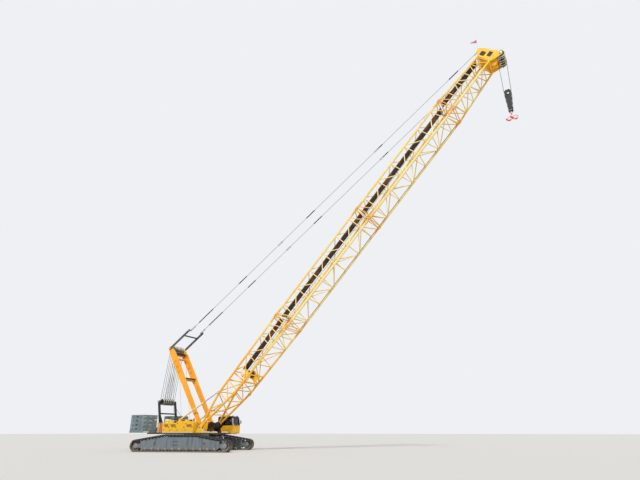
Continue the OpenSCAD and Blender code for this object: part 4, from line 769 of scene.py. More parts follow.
# %% [markdown]
# A finished piece is one object at the origin that rides on a body of the CAD model. Pieces are drawn
# in their body's own frame, so each body is listed with the function that carries points out of it.
# The undercarriage has two: what is drawn for one track is carried to both.

# %% From shapes to pieces
def still(points):
    return points


UPPER, DOOR, BOOM, MAST = ("upper", still), ("cab_door", still), ("boom", on_boom), ("mast", on_mast)
TRACKS = ("undercarriage", lambda v: at_track(v, -1), lambda v: at_track(v, 1))
CARBODY = ("undercarriage", lambda v: at_track(v, 0))
SHARP = math.radians(40)


def add(name, finish, where, *shapes):
    """One object from shapes drawn in a body's frame, smooth but for edges sharper than SHARP."""
    body, *moves = where
    drawn = joined(shapes)
    verts, quads, tris = joined([carried(drawn, move) for move in moves])
    mesh = bpy.data.meshes.new(name)
    mesh.vertices.add(len(verts))
    mesh.vertices.foreach_set("co", verts.astype(np.float32).ravel())
    corners = np.concatenate([quads.ravel(), tris.ravel()]).astype(np.int32)
    mesh.loops.add(len(corners))
    mesh.loops.foreach_set("vertex_index", corners)
    starts = np.concatenate([np.arange(len(quads)) * 4,
                             len(quads) * 4 + np.arange(len(tris)) * 3]).astype(np.int32)
    mesh.polygons.add(len(starts))
    mesh.polygons.foreach_set("loop_start", starts)
    mesh.polygons.foreach_set("use_smooth", np.ones(len(starts), bool))
    mesh.update(calc_edges=True)
    mesh.set_sharp_from_angle(angle=SHARP)
    mesh.materials.append(finish)
    piece = bpy.data.objects.new(name, mesh)
    bpy.context.scene.collection.objects.link(piece)
    if body:
        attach(piece, body)
    print(name, len(verts), "vertices")
    return piece


def add_pair(name, finish, where, *shapes):
    """The same, with its mirror image on the other side."""
    return add(name, finish, where, both(joined(shapes)))


# %% [markdown]
# The track's shoes follow a belt round four circles. We work the same belt out again here, so that
# pins and ribs can be set on every shoe. A chain of objects on a curve would need a modifier for each
# part. The formula gives a point and an outward direction at any distance along the belt instead,
# for all 58 shoes in one call.

# %% The belt of the track
CIRCLES = np.array([[-4.01, 0.49, 0.38], [4.01, 0.49, 0.38], [1.4, 1.03, 0.26], [-1.4, 1.03, 0.26]])
SHOES = 58


def run_normal(a, b):
    """Outward normal of the straight run between two circles: the run's direction, turned back a
    quarter and by the angle whose sine is the difference of the radii over the distance."""
    step = b[:2] - a[:2]
    length = np.linalg.norm(step)
    u, k = step / length, (a[2] - b[2]) / length
    s = math.sqrt(1 - k * k)
    return np.array([u[0] * k + u[1] * s, u[1] * k - u[0] * s])


def belt_rows():
    """For each circle: its row, the first angle, the angle turned, the arc and run lengths, the normal."""
    rows = []
    for i, here in enumerate(CIRCLES):
        after = CIRCLES[(i + 1) % 4]
        n0, n1 = run_normal(CIRCLES[i - 1], here), run_normal(here, after)
        first = math.atan2(n0[1], n0[0])
        turn = (math.atan2(n1[1], n1[0]) - first) % (2 * math.pi)
        gap = np.linalg.norm(after[:2] - here[:2])
        rows.append((here, first, turn, here[2] * turn, math.sqrt(gap ** 2 - (here[2] - after[2]) ** 2), n1))
    return rows


BELT = belt_rows()
LOOP = sum(row[3] + row[4] for row in BELT)
PITCH = LOOP / SHOES


def belt_places(s):
    """Points and outward normals at belt distances s. On an arc the normal's angle grows evenly with
    the distance, and on a straight run it stays the same."""
    points, normals, start = np.zeros((len(s), 2)), np.zeros((len(s), 2)), 0.0
    for here, first, turn, arc, run, n1 in BELT:
        on_arc = (s >= start) & (s < start + arc)
        on_run = (s >= start + arc) & (s < start + arc + run)
        a = first + turn * (s[on_arc] - start) / arc
        normals[on_arc] = np.column_stack([np.cos(a), np.sin(a)])
        points[on_arc] = here[:2] + here[2] * normals[on_arc]
        normals[on_run] = n1
        points[on_run] = here[:2] + here[2] * n1 + np.outer(s[on_run] - start - arc, [-n1[1], n1[0]])
        start += arc + run
    return points, normals


def on_belt(shape, s):
    """A shape drawn as [along, across, out], copied to belt distances s: point + along · tangent +
    out · normal. The belt runs the other way round from X, so its faces are turned over."""
    verts, quads, tris = shape
    points, normals = belt_places(s)
    tangents = np.column_stack([-normals[:, 1], normals[:, 0]])
    flat = points[:, None] + verts[:, :1] * tangents[:, None] + verts[:, 2:] * normals[:, None]
    across = np.broadcast_to(verts[:, 1], flat.shape[:2])
    return repeated(np.stack([flat[..., 0], across, flat[..., 1]], -1), quads[:, ::-1], tris[:, ::-1])


print("belt", round(LOOP, 3), "m, one shoe every", round(PITCH, 4), "m")

# %% [markdown]
# Each shoe has cast pads and a low cross rib on its outer face, a guide tooth on each side inside,
# and a round pin that joins it to the next one. The shoes on the ground get no ribs, because those
# would press into the floor.

# %% Shoe pads, ribs and pins
middles = (np.arange(SHOES) + 0.5) * PITCH
upward = middles[belt_places(middles)[1][:, 1] > 0.2]
shoe_face = joined([block((-0.02, -0.34, 0.109), (0.02, 0.34, 0.118), 0.003, "Z"),
                    both(block((-0.10, 0.36, 0.109), (0.10, 0.48, 0.118), 0.004, "Z"))])
add("shoe_ribs", track_steel, TRACKS, on_belt(shoe_face, upward))
guide = both(block((-0.045, 0.43, -0.05), (0.045, 0.49, 0.012), 0.006, "Z"))
add("shoe_guides", track_steel, TRACKS, on_belt(guide, middles))
link_pin = both(lathe(mm("26 -10  26 6  18 11"), (0, 0.5, 0.028), 8))
add("shoe_pins", roller_grey, TRACKS, on_belt(link_pin, np.arange(SHOES) * PITCH))

# %% [markdown]
# The side frame is a welded box. Each bottom roller's pin ends in a round cap with four bolts, which
# shows as a row of pale bumps along the frame. A flange runs round the frame's edge, the access holes
# have raised rims, and a bolted cover hides the track tensioner. All stand a few millimetres proud
# of the solid, which is enough for each to catch a line of light.

# %% Side frame fittings
ROLLER_X, WHEEL_X = np.linspace(-3.1385, 3.1385, 11), 4.01
cap = bolted_cap("50 -10  100 0  100 14  76 22  34 24  28 32", (0, 0.40, 0.2603), 18, 0.014, 0.086, 4)
add_pair("roller_caps", roller_grey, TRACKS, copies(cap, [[x, 0, 0] for x in ROLLER_X]))
hub = bolted_cap("100 -10  200 0  200 20  170 34  100 36  90 52  40 56",
                 (0, 0.35, 0.49), 28, 0.034, 0.135, 10, 0.014)
add_pair("wheel_hubs", roller_grey, TRACKS, copies(hub, [[WHEEL_X, 0, 0], [-WHEEL_X, 0, 0]]))

FRAME_EDGE = mm("330 -3520  850 -3520  1185 -1450  1185 1450  850 3520  330 3520  215 3380  215 -3380")
add_pair("frame_flanges", frame_grey, TRACKS, rim(FRAME_EDGE, 0.03, 0.40, 0.418),
         *[rim(circle(0.65, x, 0.112), 0.03, 0.398, 0.414) for x in (-2.25, 2.25)])
add_pair("frame_covers", frame_grey, TRACKS, block((2.72, 0.398, 0.56), (3.34, 0.414, 0.74), 0.02),
         bolts([[x, 0.415, z] for x in (2.78, 2.93, 3.13, 3.28) for z in (0.59, 0.71)], 0.010),
         *[block((-0.62, 0.40, z), (-0.18, 0.46, z + 0.03), 0.008) for z in (0.84, 0.56)])

# %% [markdown]
# Steel pipes carry oil from the rotary joint in the middle of the carbody to the drive motors. They
# are rigid and clamped to the beams, so each is one tube round a few corners, with short clamps. A
# ring of bolts holds the slewing ring down.

# %% Pipes on the carbody and bolts of the slewing ring
PIPE_GAP = 0.06
pipes = [bent([[x + 0.53, 1.25, 1.118], [x, 1.45, 1.118], [x, 2.62, 1.118], [x, 2.685, 0.75]], 0.016)
         for x in -1.08 + PIPE_GAP * np.arange(3)]
add_pair("drive_pipes", galvanised, CARBODY, *pipes)
add_pair("pipe_clamps", deck_black, CARBODY,
         *[block((-1.13, y - 0.025, 1.098), (-0.91, y + 0.025, 1.142), 0.008) for y in (1.7, 2.3)])
add("slew_bolts", galvanised, ("undercarriage", still), bolt_ring((0, 0, 1.265), 1.17, 60, 0.013, "Z"))

# %% [markdown]
# The counterweight slabs are cast blocks. Each has lifting lugs on its outer face and a raised panel
# in front, and flat steel bars tie a stack together. A slab's fittings are drawn once and copied up
# the stack by the slabs' own pitch, so that they can never drift from their slab.

# %% Counterweight fittings
SLAB_LOW, SLAB_RISE, SLABS = 1.6756 + 0.012, 0.35, range(4)
lug = joined([lathe(mm("75 -10  75 12  45 20  45 50  60 56  55 70"), (0, 2.95, 0), 14),
              rim(circle(0, 0, 0.105), 0.02, 2.948, 2.958)])
lug_places = [[x, 0, SLAB_LOW + 0.175 + SLAB_RISE * k] for x in (-5.08, -4.17) for k in SLABS]
add_pair("slab_lugs", ballast_grey, UPPER, copies(lug, lug_places))
add_pair("slab_ties", ballast_grey, UPPER,
         *[block((x - 0.05, 2.951, 1.60), (x + 0.05, 2.966, 3.04), 0.006) for x in (-4.85, -4.40)],
         *[block((-3.799, y - 0.05, 1.62), (-3.785, y + 0.05, 3.04), 0.006, "X") for y in (1.62, 2.58)],
         bolts([[x, 2.967, z] for x in (-4.85, -4.40) for z in (1.64, 3.0)], 0.02))
panels = copies(block((-3.80, -0.16, SLAB_LOW + 0.09), (-3.788, 0.16, SLAB_LOW + 0.25), 0.02, "X"),
                [[0, y, SLAB_RISE * k] for y in (1.44, 2.10, 2.78) for k in SLABS])
add_pair("slab_castings", slab_light, UPPER, panels)
add_pair("weight_plates", bleached, UPPER, block((-3.742, 2.24, 1.535), (-3.728, 2.90, 1.655), 0.02, "X"),
         block((-3.789, 1.32, 2.60), (-3.778, 1.62, 2.70), 0.02, "X"))
print("lugs", 2 * len(lug_places))

# %% [markdown]
# The machinery houses are sheet steel doors on a frame. A pressed rim, two hinges, a latch and a set
# of louvres make each door read as a door. A bump pattern could draw them, but it would vanish from
# the exported mesh, so they are thin real forms on the house's side.

# %% House doors
DOORS = [(-2.745, -1.99, 2.29), (-1.95, -1.115, 2.29), (-1.075, -0.16, 2.40), (-0.12, 0.80, 2.40)]
SIDE = 1.488
SLAT = mm("1489 0  1506 12  1506 17  1489 34")
rims, hinges, latches, louvres = [], [], [], []
for k, (x0, x1, top) in enumerate(DOORS):
    rims.append(rim(round_corners(1.60, top, x0 + 0.03, x1 - 0.03, 0.05, 4), 0.02, SIDE, SIDE + 0.010))
    for z in (1.72, top - 0.14):
        hinges.append(lathe(mm("8 0  14 4  14 86  8 90"), (x0 + 0.02, SIDE + 0.006, z), 8, "Z"))
        hinges.append(block((x0 + 0.02, SIDE, z + 0.01), (x0 + 0.10, SIDE + 0.008, z + 0.08), 0.006))
    latches.append(block((x1 - 0.14, SIDE, 1.95), (x1 - 0.07, SIDE + 0.009, 2.07), 0.012))
    grip = [[x1 - 0.105, SIDE + out, z] for out, z in ((0.006, 2.04), (0.020, 2.03), (0.020, 1.97))]
    latches.append(bent(grip, 0.008, 0.008))
    if k != 2:
        slat = plate(SLAT, x0 + 0.16, x1 - 0.16, 0.003, "X")
        louvres.append(copies(slat, [[0, 0, 2.02 + 0.05 * i] for i in range(5)]))
add_pair("door_rims", crane_yellow, UPPER, *rims)
add_pair("door_hinges", deck_black, UPPER, *hinges)
add_pair("door_latches", plastic_black, UPPER, *latches)
add_pair("door_louvres", louvre_brown, UPPER, *louvres)

# %% [markdown]
# On the roofs stand pale vent boxes, hatches and rails. The exhaust gets a heat shield and a rain
# cap, and the air cleaner a domed hood. What is round is a profile turned round Z, and the rails are
# pipes with bent corners, as they are on the real roof.

# %% Roof fittings
add("roof_vents", pale_lime, UPPER, both(block((-2.72, 1.04, 2.364), (-2.26, 1.40, 2.70), 0.04, "Z")),
    block((-2.18, -1.40, 2.364), (-1.84, -1.08, 2.60), 0.03, "Z"))
roof_slats = [block((x, 1.06, 2.698), (x + 0.035, 1.38, 2.708), 0.004, "Z")
              for x in -2.68 + 0.075 * np.arange(6)]
side_slat = plate(mm("1398 0  1412 10  1412 18  1398 36"), -2.68, -2.30, 0.003, "X")
add_pair("vent_slats", bleached, UPPER, *roof_slats, copies(side_slat, [[0, 0, z] for z in (2.44, 2.51, 2.58)]))
add_pair("roof_hatches", crane_yellow, UPPER,
         rim(round_corners(-0.60, 0.0, 1.03, 1.40, 0.04), 0.02, 2.474, 2.486, "Z"),
         block((-1.62, 1.10, 2.364), (-1.30, 1.40, 2.382), 0.02, "Z"))

RAIL_Y = 1.452
rails = [bent([[x0, RAIL_Y, low], [x0, RAIL_Y, high], [x1, RAIL_Y, high], [x1, RAIL_Y, low]], 0.014, 0.06)
         for x0, x1, low, high in ((-2.70, -1.20, 2.362, 2.56), (-0.62, 0.70, 2.472, 2.64))]
rails += [tube([[x, RAIL_Y, low], [x, RAIL_Y, high]], 0.012)
          for x, low, high in ((-2.2, 2.362, 2.56), (-1.7, 2.362, 2.56),
                               (-0.18, 2.472, 2.64), (0.26, 2.472, 2.64))]
add_pair("roof_rails", crane_yellow, UPPER, *rails)

add("exhaust_shield", galvanised, UPPER, lathe(mm("90 0  96 4  96 250  78 260"), (-1.5, 1.19, 2.42), 24, "Z"),
    lathe(mm("72 0  88 0  94 20  85 35  20 50"), (-1.5, 1.19, 2.775), 20, "Z"))
add("cleaner_hood", plastic_black, UPPER,
    lathe(mm("100 0  155 10  165 35  150 70  110 100  40 115"), (-1.9, 1.22, 2.60), 28, "Z"))
add("fuel_cap", galvanised, UPPER, lathe(mm("68 0  75 6  75 30  50 40"), (0.48, -1.19, 2.53), 20, "Z"),
    bolt_ring((0.02, -1.21, 2.546), 0.10, 6, 0.012, "Z"))

# %% [markdown]
# The deck's edge has a pale skirt below each house. Behind the houses stand a broad tan post and a
# thin orange one on each side, with a pale strip beside them, and a step plate lets the crew into the
# cab. They are plain welded boxes, so blocks with soft edges and a few bolts are all they need.

# %% Deck edges, posts and step
add_pair("deck_skirts", bleached, UPPER, block((-2.79, 1.489, 1.532), (0.81, 1.500, 1.580), 0.005))
add_pair("rear_posts", post_tan, UPPER, block((-3.54, 1.24, 1.526), (-3.26, 1.46, 2.38), 0.03, "Z"),
         block((-3.57, 1.21, 2.36), (-3.23, 1.49, 2.40), 0.02, "Z"),
         bolts([[x, 1.462, z] for x in (-3.5, -3.3) for z in (1.62, 1.95, 2.30)], 0.016))
add_pair("tank_posts", post_orange, UPPER, block((-3.11, 1.26, 1.526), (-2.97, 1.47, 2.34), 0.02, "Z"),
         tube([[-3.04, 1.36, 2.33], [-3.04, 1.36, 2.42]], 0.05, 12))
add_pair("post_strips", bleached, UPPER, block((-2.862, 1.40, 1.53), (-2.815, 1.485, 2.34), 0.012, "Z"))
add("cab_step", deck_black, UPPER, block((1.30, 2.44, 1.435), (2.36, 2.86, 1.455), 0.01, "Z"),
    block((1.30, 2.84, 1.435), (2.36, 2.86, 1.50), 0.006, "Z"),
    *[tube([[x, 2.30, 1.435], [x, 2.84, 1.445]], 0.02) for x in (1.45, 2.2)])
add_pair("foot_pin_caps", galvanised, UPPER,
         bolted_cap("60 -10  88 0  88 20  30 26", BOOM_FOOT + [0, 1.315, 0], 20, 0.020, 0.058, 4))

# %% [markdown]
# The rear bail holds six sheaves on one shaft. The shaft ends in bolted caps, and a keeper bar on two
# arms stops the ropes jumping out of their grooves.

# %% Rear bail fittings
add_pair("bail_caps", galvanised, UPPER,
         bolted_cap("50 0  100 0  100 18  70 30  20 34", BAIL_SHAFT + [0, 1.165, 0], 24, 0.018, 0.082, 6))
arm = mm("40 20  -280 220  -260 300  40 100") + BAIL_SHAFT[[2, 0]]
add("bail_keeper", deck_black, UPPER, rod(BAIL_SHAFT[0] + 0.26, BAIL_SHAFT[2] - 0.24, 1.0, 0.02, 10),
    *[plate(arm, side * 0.965 - 0.012, side * 0.965 + 0.012) for side in (-1, 1)])

# %% [markdown]
# The boom is lifted by a rope that runs many times between the sheaves on the rear bail and those at the mast's
# head. The mast leans back and forth as the boom luffs. Each run is a straight tube with only two rings, one at
# the bail's sheaves and one at the mast's head, and it rides on no body.

# %% Boom hoist ropes
GROOVE, ROPE = 0.275, 0.016
bail_y, mast_y = np.linspace(-0.65, 0.65, 6), np.linspace(-0.62, 0.62, 7)


def groove_points(centre, toward, way, ys):
    """Points where runs leave their sheaves: the centre, shifted across the run by the groove's radius."""
    run = (toward - centre) / np.linalg.norm(toward - centre)
    return centre + np.array([run[2], 0, -run[0]]) * way * GROOVE + np.outer(ys, [0, 1, 0])


def half_turns(centre, ys, first):
    """The rope where it lies in the sheaves' grooves: half a circle of radius GROOVE from an angle on."""
    a = np.linspace(first, first + math.pi, 15)
    arc = np.column_stack([np.cos(a), 0 * a, np.sin(a)]) * GROOVE
    return joined([tube(centre + arc + [0, y, 0], ROPE, 6) for y in ys])


runs = []
for way, taken in ((1, mast_y[1:]), (-1, mast_y[:-1])):
    low_ends = groove_points(BAIL_SHAFT, MAST_HEAD, way, bail_y)
    high_ends = groove_points(MAST_HEAD, BAIL_SHAFT, -way, taken)
    runs += [tube(ends, ROPE) for ends in zip(low_ends, high_ends)]
reeving = add("hoist_reeving", wire_rope, (None, still), *runs)
tuple(BAIL_SHAFT + [0, 0, 0.05])
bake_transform(reeving)
add("mast_rope_turns", wire_rope, ("mast", still), half_turns(MAST_HEAD, mast_y, 0))
add("bail_rope_turns", wire_rope, UPPER, half_turns(BAIL_SHAFT, bail_y, math.pi))

# Three thin stay lines run down from the mast to the roof
line_tops = on_mast([[7.4, -0.5, 0.27], [7.4, 0.0, 0.13], [6.4, 0.5, 0.1]])
line_feet = np.array([[-2.6, -0.5, 2.9], [-2.05, 0.0, 2.93], [-1.3, 0.5, 2.35]])
lines = add("stay_lines", wire_rope, (None, still),
            *[tube(ends, 0.008, 6) for ends in zip(line_feet, line_tops)])
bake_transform(lines)

# %% [markdown]
# The hoist rope leaves the winch inside the boom's butt, runs up under the walkway over guide
# rollers, crosses a small deflector sheave and drops over the head sheaves. It is straight between
# those points, so each stretch is a tube of its own, and no curve has to be bent back to a line.

# %% Hoist rope and its rollers
ROPE_Y, WINCH_X, WINCH_Z = 0.12, 6.1, 0.06
ROLLER = mm("20 -340  55 -335  60 -300  50 -50  50 50  60 300  55 335  20 340")
route = [[x, ROPE_Y, z] for x, z in ((WINCH_X, 0.325), (12.0, 0.42), (24.0, 0.52), (35.9, 0.61),
                                     (42.04, 0.83), (42.23, 0.72), (42.62, -0.86))]
add("hoist_rope", wire_rope, BOOM, *[tube(stretch, ROPE) for stretch in zip(route, route[1:])])
stations = ((12.3, 0.36), (24.3, 0.46), (35.6, 0.55))
add("guide_rollers", worked_steel, BOOM, *[lathe(ROLLER, (x, 0, z), 16) for x, z in stations])
hangers = [block((x - 0.03, side * 0.37 - 0.012, z - 0.05), (x + 0.03, side * 0.37 + 0.012, 0.80), 0.006)
           for x, z in stations for side in (-1, 1)]
add("roller_hangers", boom_cream_painted_sunlight, BOOM, *hangers, *[rod(x, z, 0.40, 0.02, 10) for x, z in stations])

# %% [markdown]
# Rope on a winch drum lies in close turns. Winding a real helix would cost a hundred thousand faces.
# A profile that ripples once per turn, turned round the drum, looks the same at a small cost.

# %% Rope on the drums
TURN = 0.028


def wound_drum(centre, radius, half_width):
    """Radius = drum + 0.03 + half a turn · |cos|, with one ripple per turn along the drum's width."""
    h = np.linspace(-half_width, half_width, int(2 * half_width / TURN) * 6 + 1)
    r = radius + 0.03 + TURN / 2 * np.abs(np.cos(np.pi * (h + half_width) / TURN))
    return lathe(np.column_stack([r, h]), centre, 32)


def drum_centre(node, flange):
    """The middle of a winch's box along the crane, one flange radius below the box's top."""
    middle = shaft_of(node)
    return np.array([middle[0], 0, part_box(node)[1][2] - flange])


HOIST_DRUM, LUFF_DRUM = drum_centre("hoist_winch", 0.38), drum_centre("luffing_winch", 0.33)
print("drums", HOIST_DRUM.round(3), LUFF_DRUM.round(3))
add("hoist_winding", wire_rope, UPPER, wound_drum(HOIST_DRUM, 0.26, 0.42))
add("luffing_winding", wire_rope, UPPER, wound_drum(LUFF_DRUM, 0.24, 0.39))
add("boom_winding", wire_rope, BOOM, wound_drum((WINCH_X, 0, WINCH_Z), 0.25, 0.58))
add("luffing_rope", wire_rope, UPPER,
    tube([LUFF_DRUM + [0.0, 0.3, 0.28], BAIL_SHAFT + [0.02, 0.39, GROOVE]], ROPE))

# %% [markdown]
# The cab's windows sit in black rubber seals. Each seal is a band round the window's own outline, the
# same as in the CAD model, so that it covers the joint of glass and shell all the way round. The
# raked front pane is drawn upright and then leaned back about its sill.

# %% Window seals
SIDE_WINDOW = mm("1895 1370  1895 1590  2175 1920  2175 2990  2815 2860  2815 1370")
QUARTER_WINDOW = mm("2175 2390  2175 2990  2815 2860  2815 2390")
RAKE, FRONT_FOOT = math.atan2(0.15, 2.845 - 2.155), np.array([3.11, 0, 2.155])


def raked(shape):
    """Sets a shape drawn upright on the cab's front sill and leans it back by the pane's rake."""
    return carried(shape, lambda v: tilted(v, FRONT_FOOT, RAKE))


add("window_seals", rubber, UPPER,
    rim(SIDE_WINDOW, 0.035, 1.411, 1.426), rim(QUARTER_WINDOW, 0.035, 2.393, 2.406),
    raked(rim(round_corners(1.495, 2.325, 0.03, 0.675, 0.03, 4), 0.03, -0.012, 0.006, "X")),
    rim(round_corners(1.545, 2.275, 2.20, 2.77, 0.04, 4), 0.03, 1.252, 1.266, "X"))
add("door_seal", rubber, DOOR, rim(round_corners(1.975, 2.77, 1.44, 2.21, 0.02), 0.03, 2.394, 2.407))
add("door_panel_rim", cab_paint, DOOR, rim(round_corners(1.60, 1.90, 1.44, 2.21, 0.04, 4), 0.016, 2.398, 2.404))
add("door_pull", plastic_black, DOOR,
    bent([[2.235, 2.40, 1.98], [2.235, 2.44, 1.98], [2.235, 2.44, 2.30], [2.235, 2.40, 2.30]], 0.011, 0.03),
    block((2.20, 2.398, 1.86), (2.265, 2.412, 1.94), 0.01))

# %% [markdown]
# On the outside the cab has a wiper, mirrors on bent stalks, a roof rail on each side with bars
# between, and two work lamps. They are small but stand out against the sky, so they are real tubes,
# plates and turned parts and not marks on the surface.

# %% Cab fittings
add("wiper", plastic_black, UPPER, raked(joined([
    tube([[0.02, 1.91, 0.03], [0.028, 1.80, 0.34]], 0.009),
    tube([[0.016, 1.70, 0.16], [0.024, 1.86, 0.54]], 0.007, 6),
    block((0.0, 1.87, -0.03), (0.035, 1.95, 0.05), 0.012, "X")])))
stalks, mirrors = [], []
for y, out in ((1.45, -1), (2.37, 1)):
    middle = y + out * 0.07
    stalks.append(bent([[3.02, y, 2.60], [3.13, y + out * 0.05, 2.64], [3.15, middle, 2.56]], 0.014, 0.04))
    stalks.append(tube([[3.05, y, 2.36], [3.15, y + out * 0.06, 2.38]], 0.012))
    mirrors.append(block((3.14, middle - 0.065, 2.32), (3.17, middle + 0.065, 2.58), 0.03, "X"))
add("mirror_stalks", deck_black, UPPER, *stalks)
add("mirrors", plastic_black, UPPER, *mirrors)
add("cab_roof_bars", deck_black, UPPER,
    *[bent([[1.40, y, 2.93], [1.40, y, 2.985], [2.62, y, 2.985], [2.80, y, 2.93]], 0.012, 0.05)
      for y in (1.47, 2.35)],
    *[tube([[x, 1.60, 2.945], [x, 2.22, 2.945]], 0.010) for x in np.linspace(1.80, 2.60, 9)])
add("work_lamps", lamp_grey, UPPER,
    *[lathe(mm("30 -50  62 -30  68 20  60 28  20 24"), (2.84, y, 2.965), 18, "X") for y in (1.56, 2.26)])
add("cab_pillar_covers", bleached, UPPER, raked(block((-0.10, 1.409, 0.03), (-0.02, 1.420, 0.66))),
    raked(block((0.0, 1.425, 0.03), (0.010, 1.475, 0.66), 0.01, "X")),
    bent([[2.30, 2.403, 1.70], [2.30, 2.45, 1.72], [2.30, 2.45, 2.50], [2.30, 2.403, 2.52]], 0.012, 0.03))
add("cab_panel_rims", cab_paint, UPPER,
    rim(round_corners(1.52, 1.86, 1.36, 2.95, 0.05, 4), 0.014, 1.414, 1.421),
    rim(round_corners(1.47, 2.34, 1.56, 2.10, 0.05, 4), 0.014, 3.109, 3.116, "X"))

# %% [markdown]
# The operator sits on a sprung seat between two consoles. The cushion and the back are upholstered in
# black cloth, and they replace the plain blocks of the CAD seat. A cloth simulation would inflate
# them too, but they are seen only through tinted glass, so a formula gives the crown and the seams.

# %% Seat cushions
CAB_FLOOR, SEAT_Y, SEAT_LEAN = 1.5053, 1.91, math.atan2(0.09, 0.64)


def cushion(size, crown=0.25, pull=0.05, channels=(-0.33, 0.33), grid=72):
    """A padded box over angles a (round) and b (from pole to pole):
    x, y = half size · rounded square of a · shoulder(b), z = half thickness · sin b, with
    the middle raised by crown · (1 − x²)(1 − y²), the sides drawn in by pull between the corners, and
    grooves of a narrow bell shape across the top at each channel."""
    a = np.linspace(0, 2 * np.pi, grid, endpoint=False)[None, :]
    b = np.linspace(-np.pi / 2 + 0.03, np.pi / 2 - 0.03, grid // 2)[:, None]
    around_x, around_y, z = (np.sign(t) * np.abs(t) ** power
                             for t, power in ((np.cos(a), 0.36), (np.sin(a), 0.36), (np.sin(b), 0.5)))
    shoulder = np.abs(np.cos(b)) ** 0.42
    x, y = around_x * shoulder, around_y * shoulder
    drawn = 1 - pull * (1 - np.abs(around_x * around_y))
    top = np.clip(z, 0, 1)
    z = z * (1 - crown) + top * crown * (1 - x ** 2) * (1 - y ** 2)
    groove = sum(np.exp(-((y - c) / 0.035) ** 2) for c in channels)
    z = z - top * 0.22 * groove * (1 - np.clip(np.abs(x) - 0.8, 0, 1) * 5).clip(0, 1)
    return skinned(np.stack([x * drawn, y * drawn, z], -1) * size / 2)


def on_floor(shape):
    """A shape whose heights are counted from the cab's floor and whose middle is the seat's."""
    return carried(shape, lambda v: v + [0, SEAT_Y, CAB_FLOOR])


lying = carried(cushion((0.49, 0.47, 0.118)), lambda v: v + [1.91, 0, 0.382])
upright = carried(cushion((0.60, 0.43, 0.10)), lambda v: tilted(v, [1.668, 0, 0.725], math.pi / 2 - SEAT_LEAN))
seat_cushion = add("seat_cushion", seat_cloth, UPPER, on_floor(lying))
seat_back = add("seat_back", seat_cloth, UPPER, on_floor(upright))
print("seat at", SEAT_Y, "over the floor at", CAB_FLOOR)

# %% [markdown]
# Under the cushion are a base plate, a stand and rubber bellows, which are four rims one above the
# other. The two consoles with their levers are alike, so one of each is drawn in the seat's middle
# and copied to both sides.

# %% Seat frame, consoles and levers
bellows = copies(rim(round_corners(1.72, 2.04, -0.14, 0.14, 0.03), 0.02, 0.10, 0.12, "Z"),
                 [[0, 0, 0.045 * k] for k in range(4)])
seat_frame = add("seat_frame", plastic_black, UPPER, on_floor(joined([
    block((1.62, -0.38, 0.04), (2.24, 0.38, 0.08), 0.02, "Z"),
    block((1.70, -0.16, 0.08), (2.06, 0.16, 0.31), 0.03, "Z"),
    block((1.68, -0.06, 0.0), (1.88, 0.06, 0.05), 0.01, "Z"), bellows])))
sides = [[0, -0.32, 0], [0, 0.32, 0]]
console = joined([block((1.71, -0.058, 0.08), (2.24, 0.058, 0.53), 0.05),
                  block((1.72, -0.045, 0.53), (1.98, 0.045, 0.56), 0.02, "Z")])
lever = lathe(mm("34 0  28 20  12 45  10 120  22 140  26 165  16 185"), (2.15, 0, 0.53), 16, "Z")
seat_consoles = add("seat_consoles", lamp_grey, UPPER, on_floor(copies(console, sides)))
seat_levers = add("seat_levers", plastic_black, UPPER, on_floor(copies(lever, sides)))
for piece in (seat_cushion, seat_back, seat_frame, seat_consoles, seat_levers):
    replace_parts(piece, "cab_seat")

# %% [markdown]
# Where a lacing tube meets a chord there is a weld bead, some hundreds in all. They are placed by the
# same rows of cross frames that the CAD model uses: a station, and the chords' heights and half
# widths there. Measuring the solids instead would give the same places with more code.

# %% The boom's cross frames
def level_frames(start):
    stations = [0.12] + [1.15 + i * 9.7 / 5 for i in range(6)] + [11.88]
    return np.array([[start + s, HALF_D, -HALF_D, HALF_W, HALF_W] for s in stations])


def bent_chord(s, knee, height, rise):
    """A butt chord: straight from the foot to the knee's height, then on to the section's depth."""
    return np.where(s < knee, height * s / knee, height + rise * (s - knee) / (SECTION - knee))


BUTT = np.array([1.6, 3.4, 4.75, 5.7, 7.7, 9.7, 10.9, 11.88])
butt_frames = np.column_stack([BUTT, bent_chord(BUTT, 3.4, 0.64, 0.20), bent_chord(BUTT, 4.42, -0.66, -0.18),
                               0 * BUTT + HALF_W, 0 * BUTT + HALF_W])
share = np.array([0.02, 0.2, 0.42, 0.62, 0.81, 0.97])
rise = share * 5.4 / 5.6
head_frames = np.column_stack([3 * SECTION + share * 5.4,
                               HALF_D + rise * (0.66 - HALF_D), -HALF_D + share * (-0.60 + HALF_D),
                               HALF_W + rise * (0.78 - HALF_W), HALF_W + share * (0.86 - HALF_W)])
print("cross frames", len(BUTT) + 2 * len(level_frames(0)) + len(share))

# %% [markdown]
# The zigzag of the lacing follows from those rows. Each bead is a short cone at the end of a lacing
# tube, and all of a section's cones are worked out as one array.

# %% Weld beads on the lacing
def corner(frames, up, side):
    """Chord centres of frames: x, side · half width, height, for the upper or the lower chord."""
    return np.column_stack([frames[:, 0], side * np.where(up > 0, frames[:, 3], frames[:, 4]),
                            np.where(up > 0, frames[:, 1], frames[:, 2])])


DIAGONAL_GAP = 0.13    # a diagonal's end is this far along from its cross frame


def lacing_ends(frames):
    """Both ends of every lacing tube of a section: the cross struts, then the zigzag of each bay."""
    step = np.diff(frames, axis=0)
    part = (DIAGONAL_GAP / step[:, 0])[:, None]
    a, b = frames[:-1] + step * part, frames[1:] - step * part
    way = np.where(np.arange(len(a)) % 2 == 0, 1, -1)
    starts, ends = [], []
    for side in (-1, 1):
        starts += [corner(frames, -1, side), corner(frames, side, -1),
                   corner(a, way, side), corner(a, side, way * side)]
        ends += [corner(frames, 1, side), corner(frames, side, 1),
                 corner(b, -way, side), corner(b, side, -way * side)]
    return np.vstack(starts), np.vstack(ends)


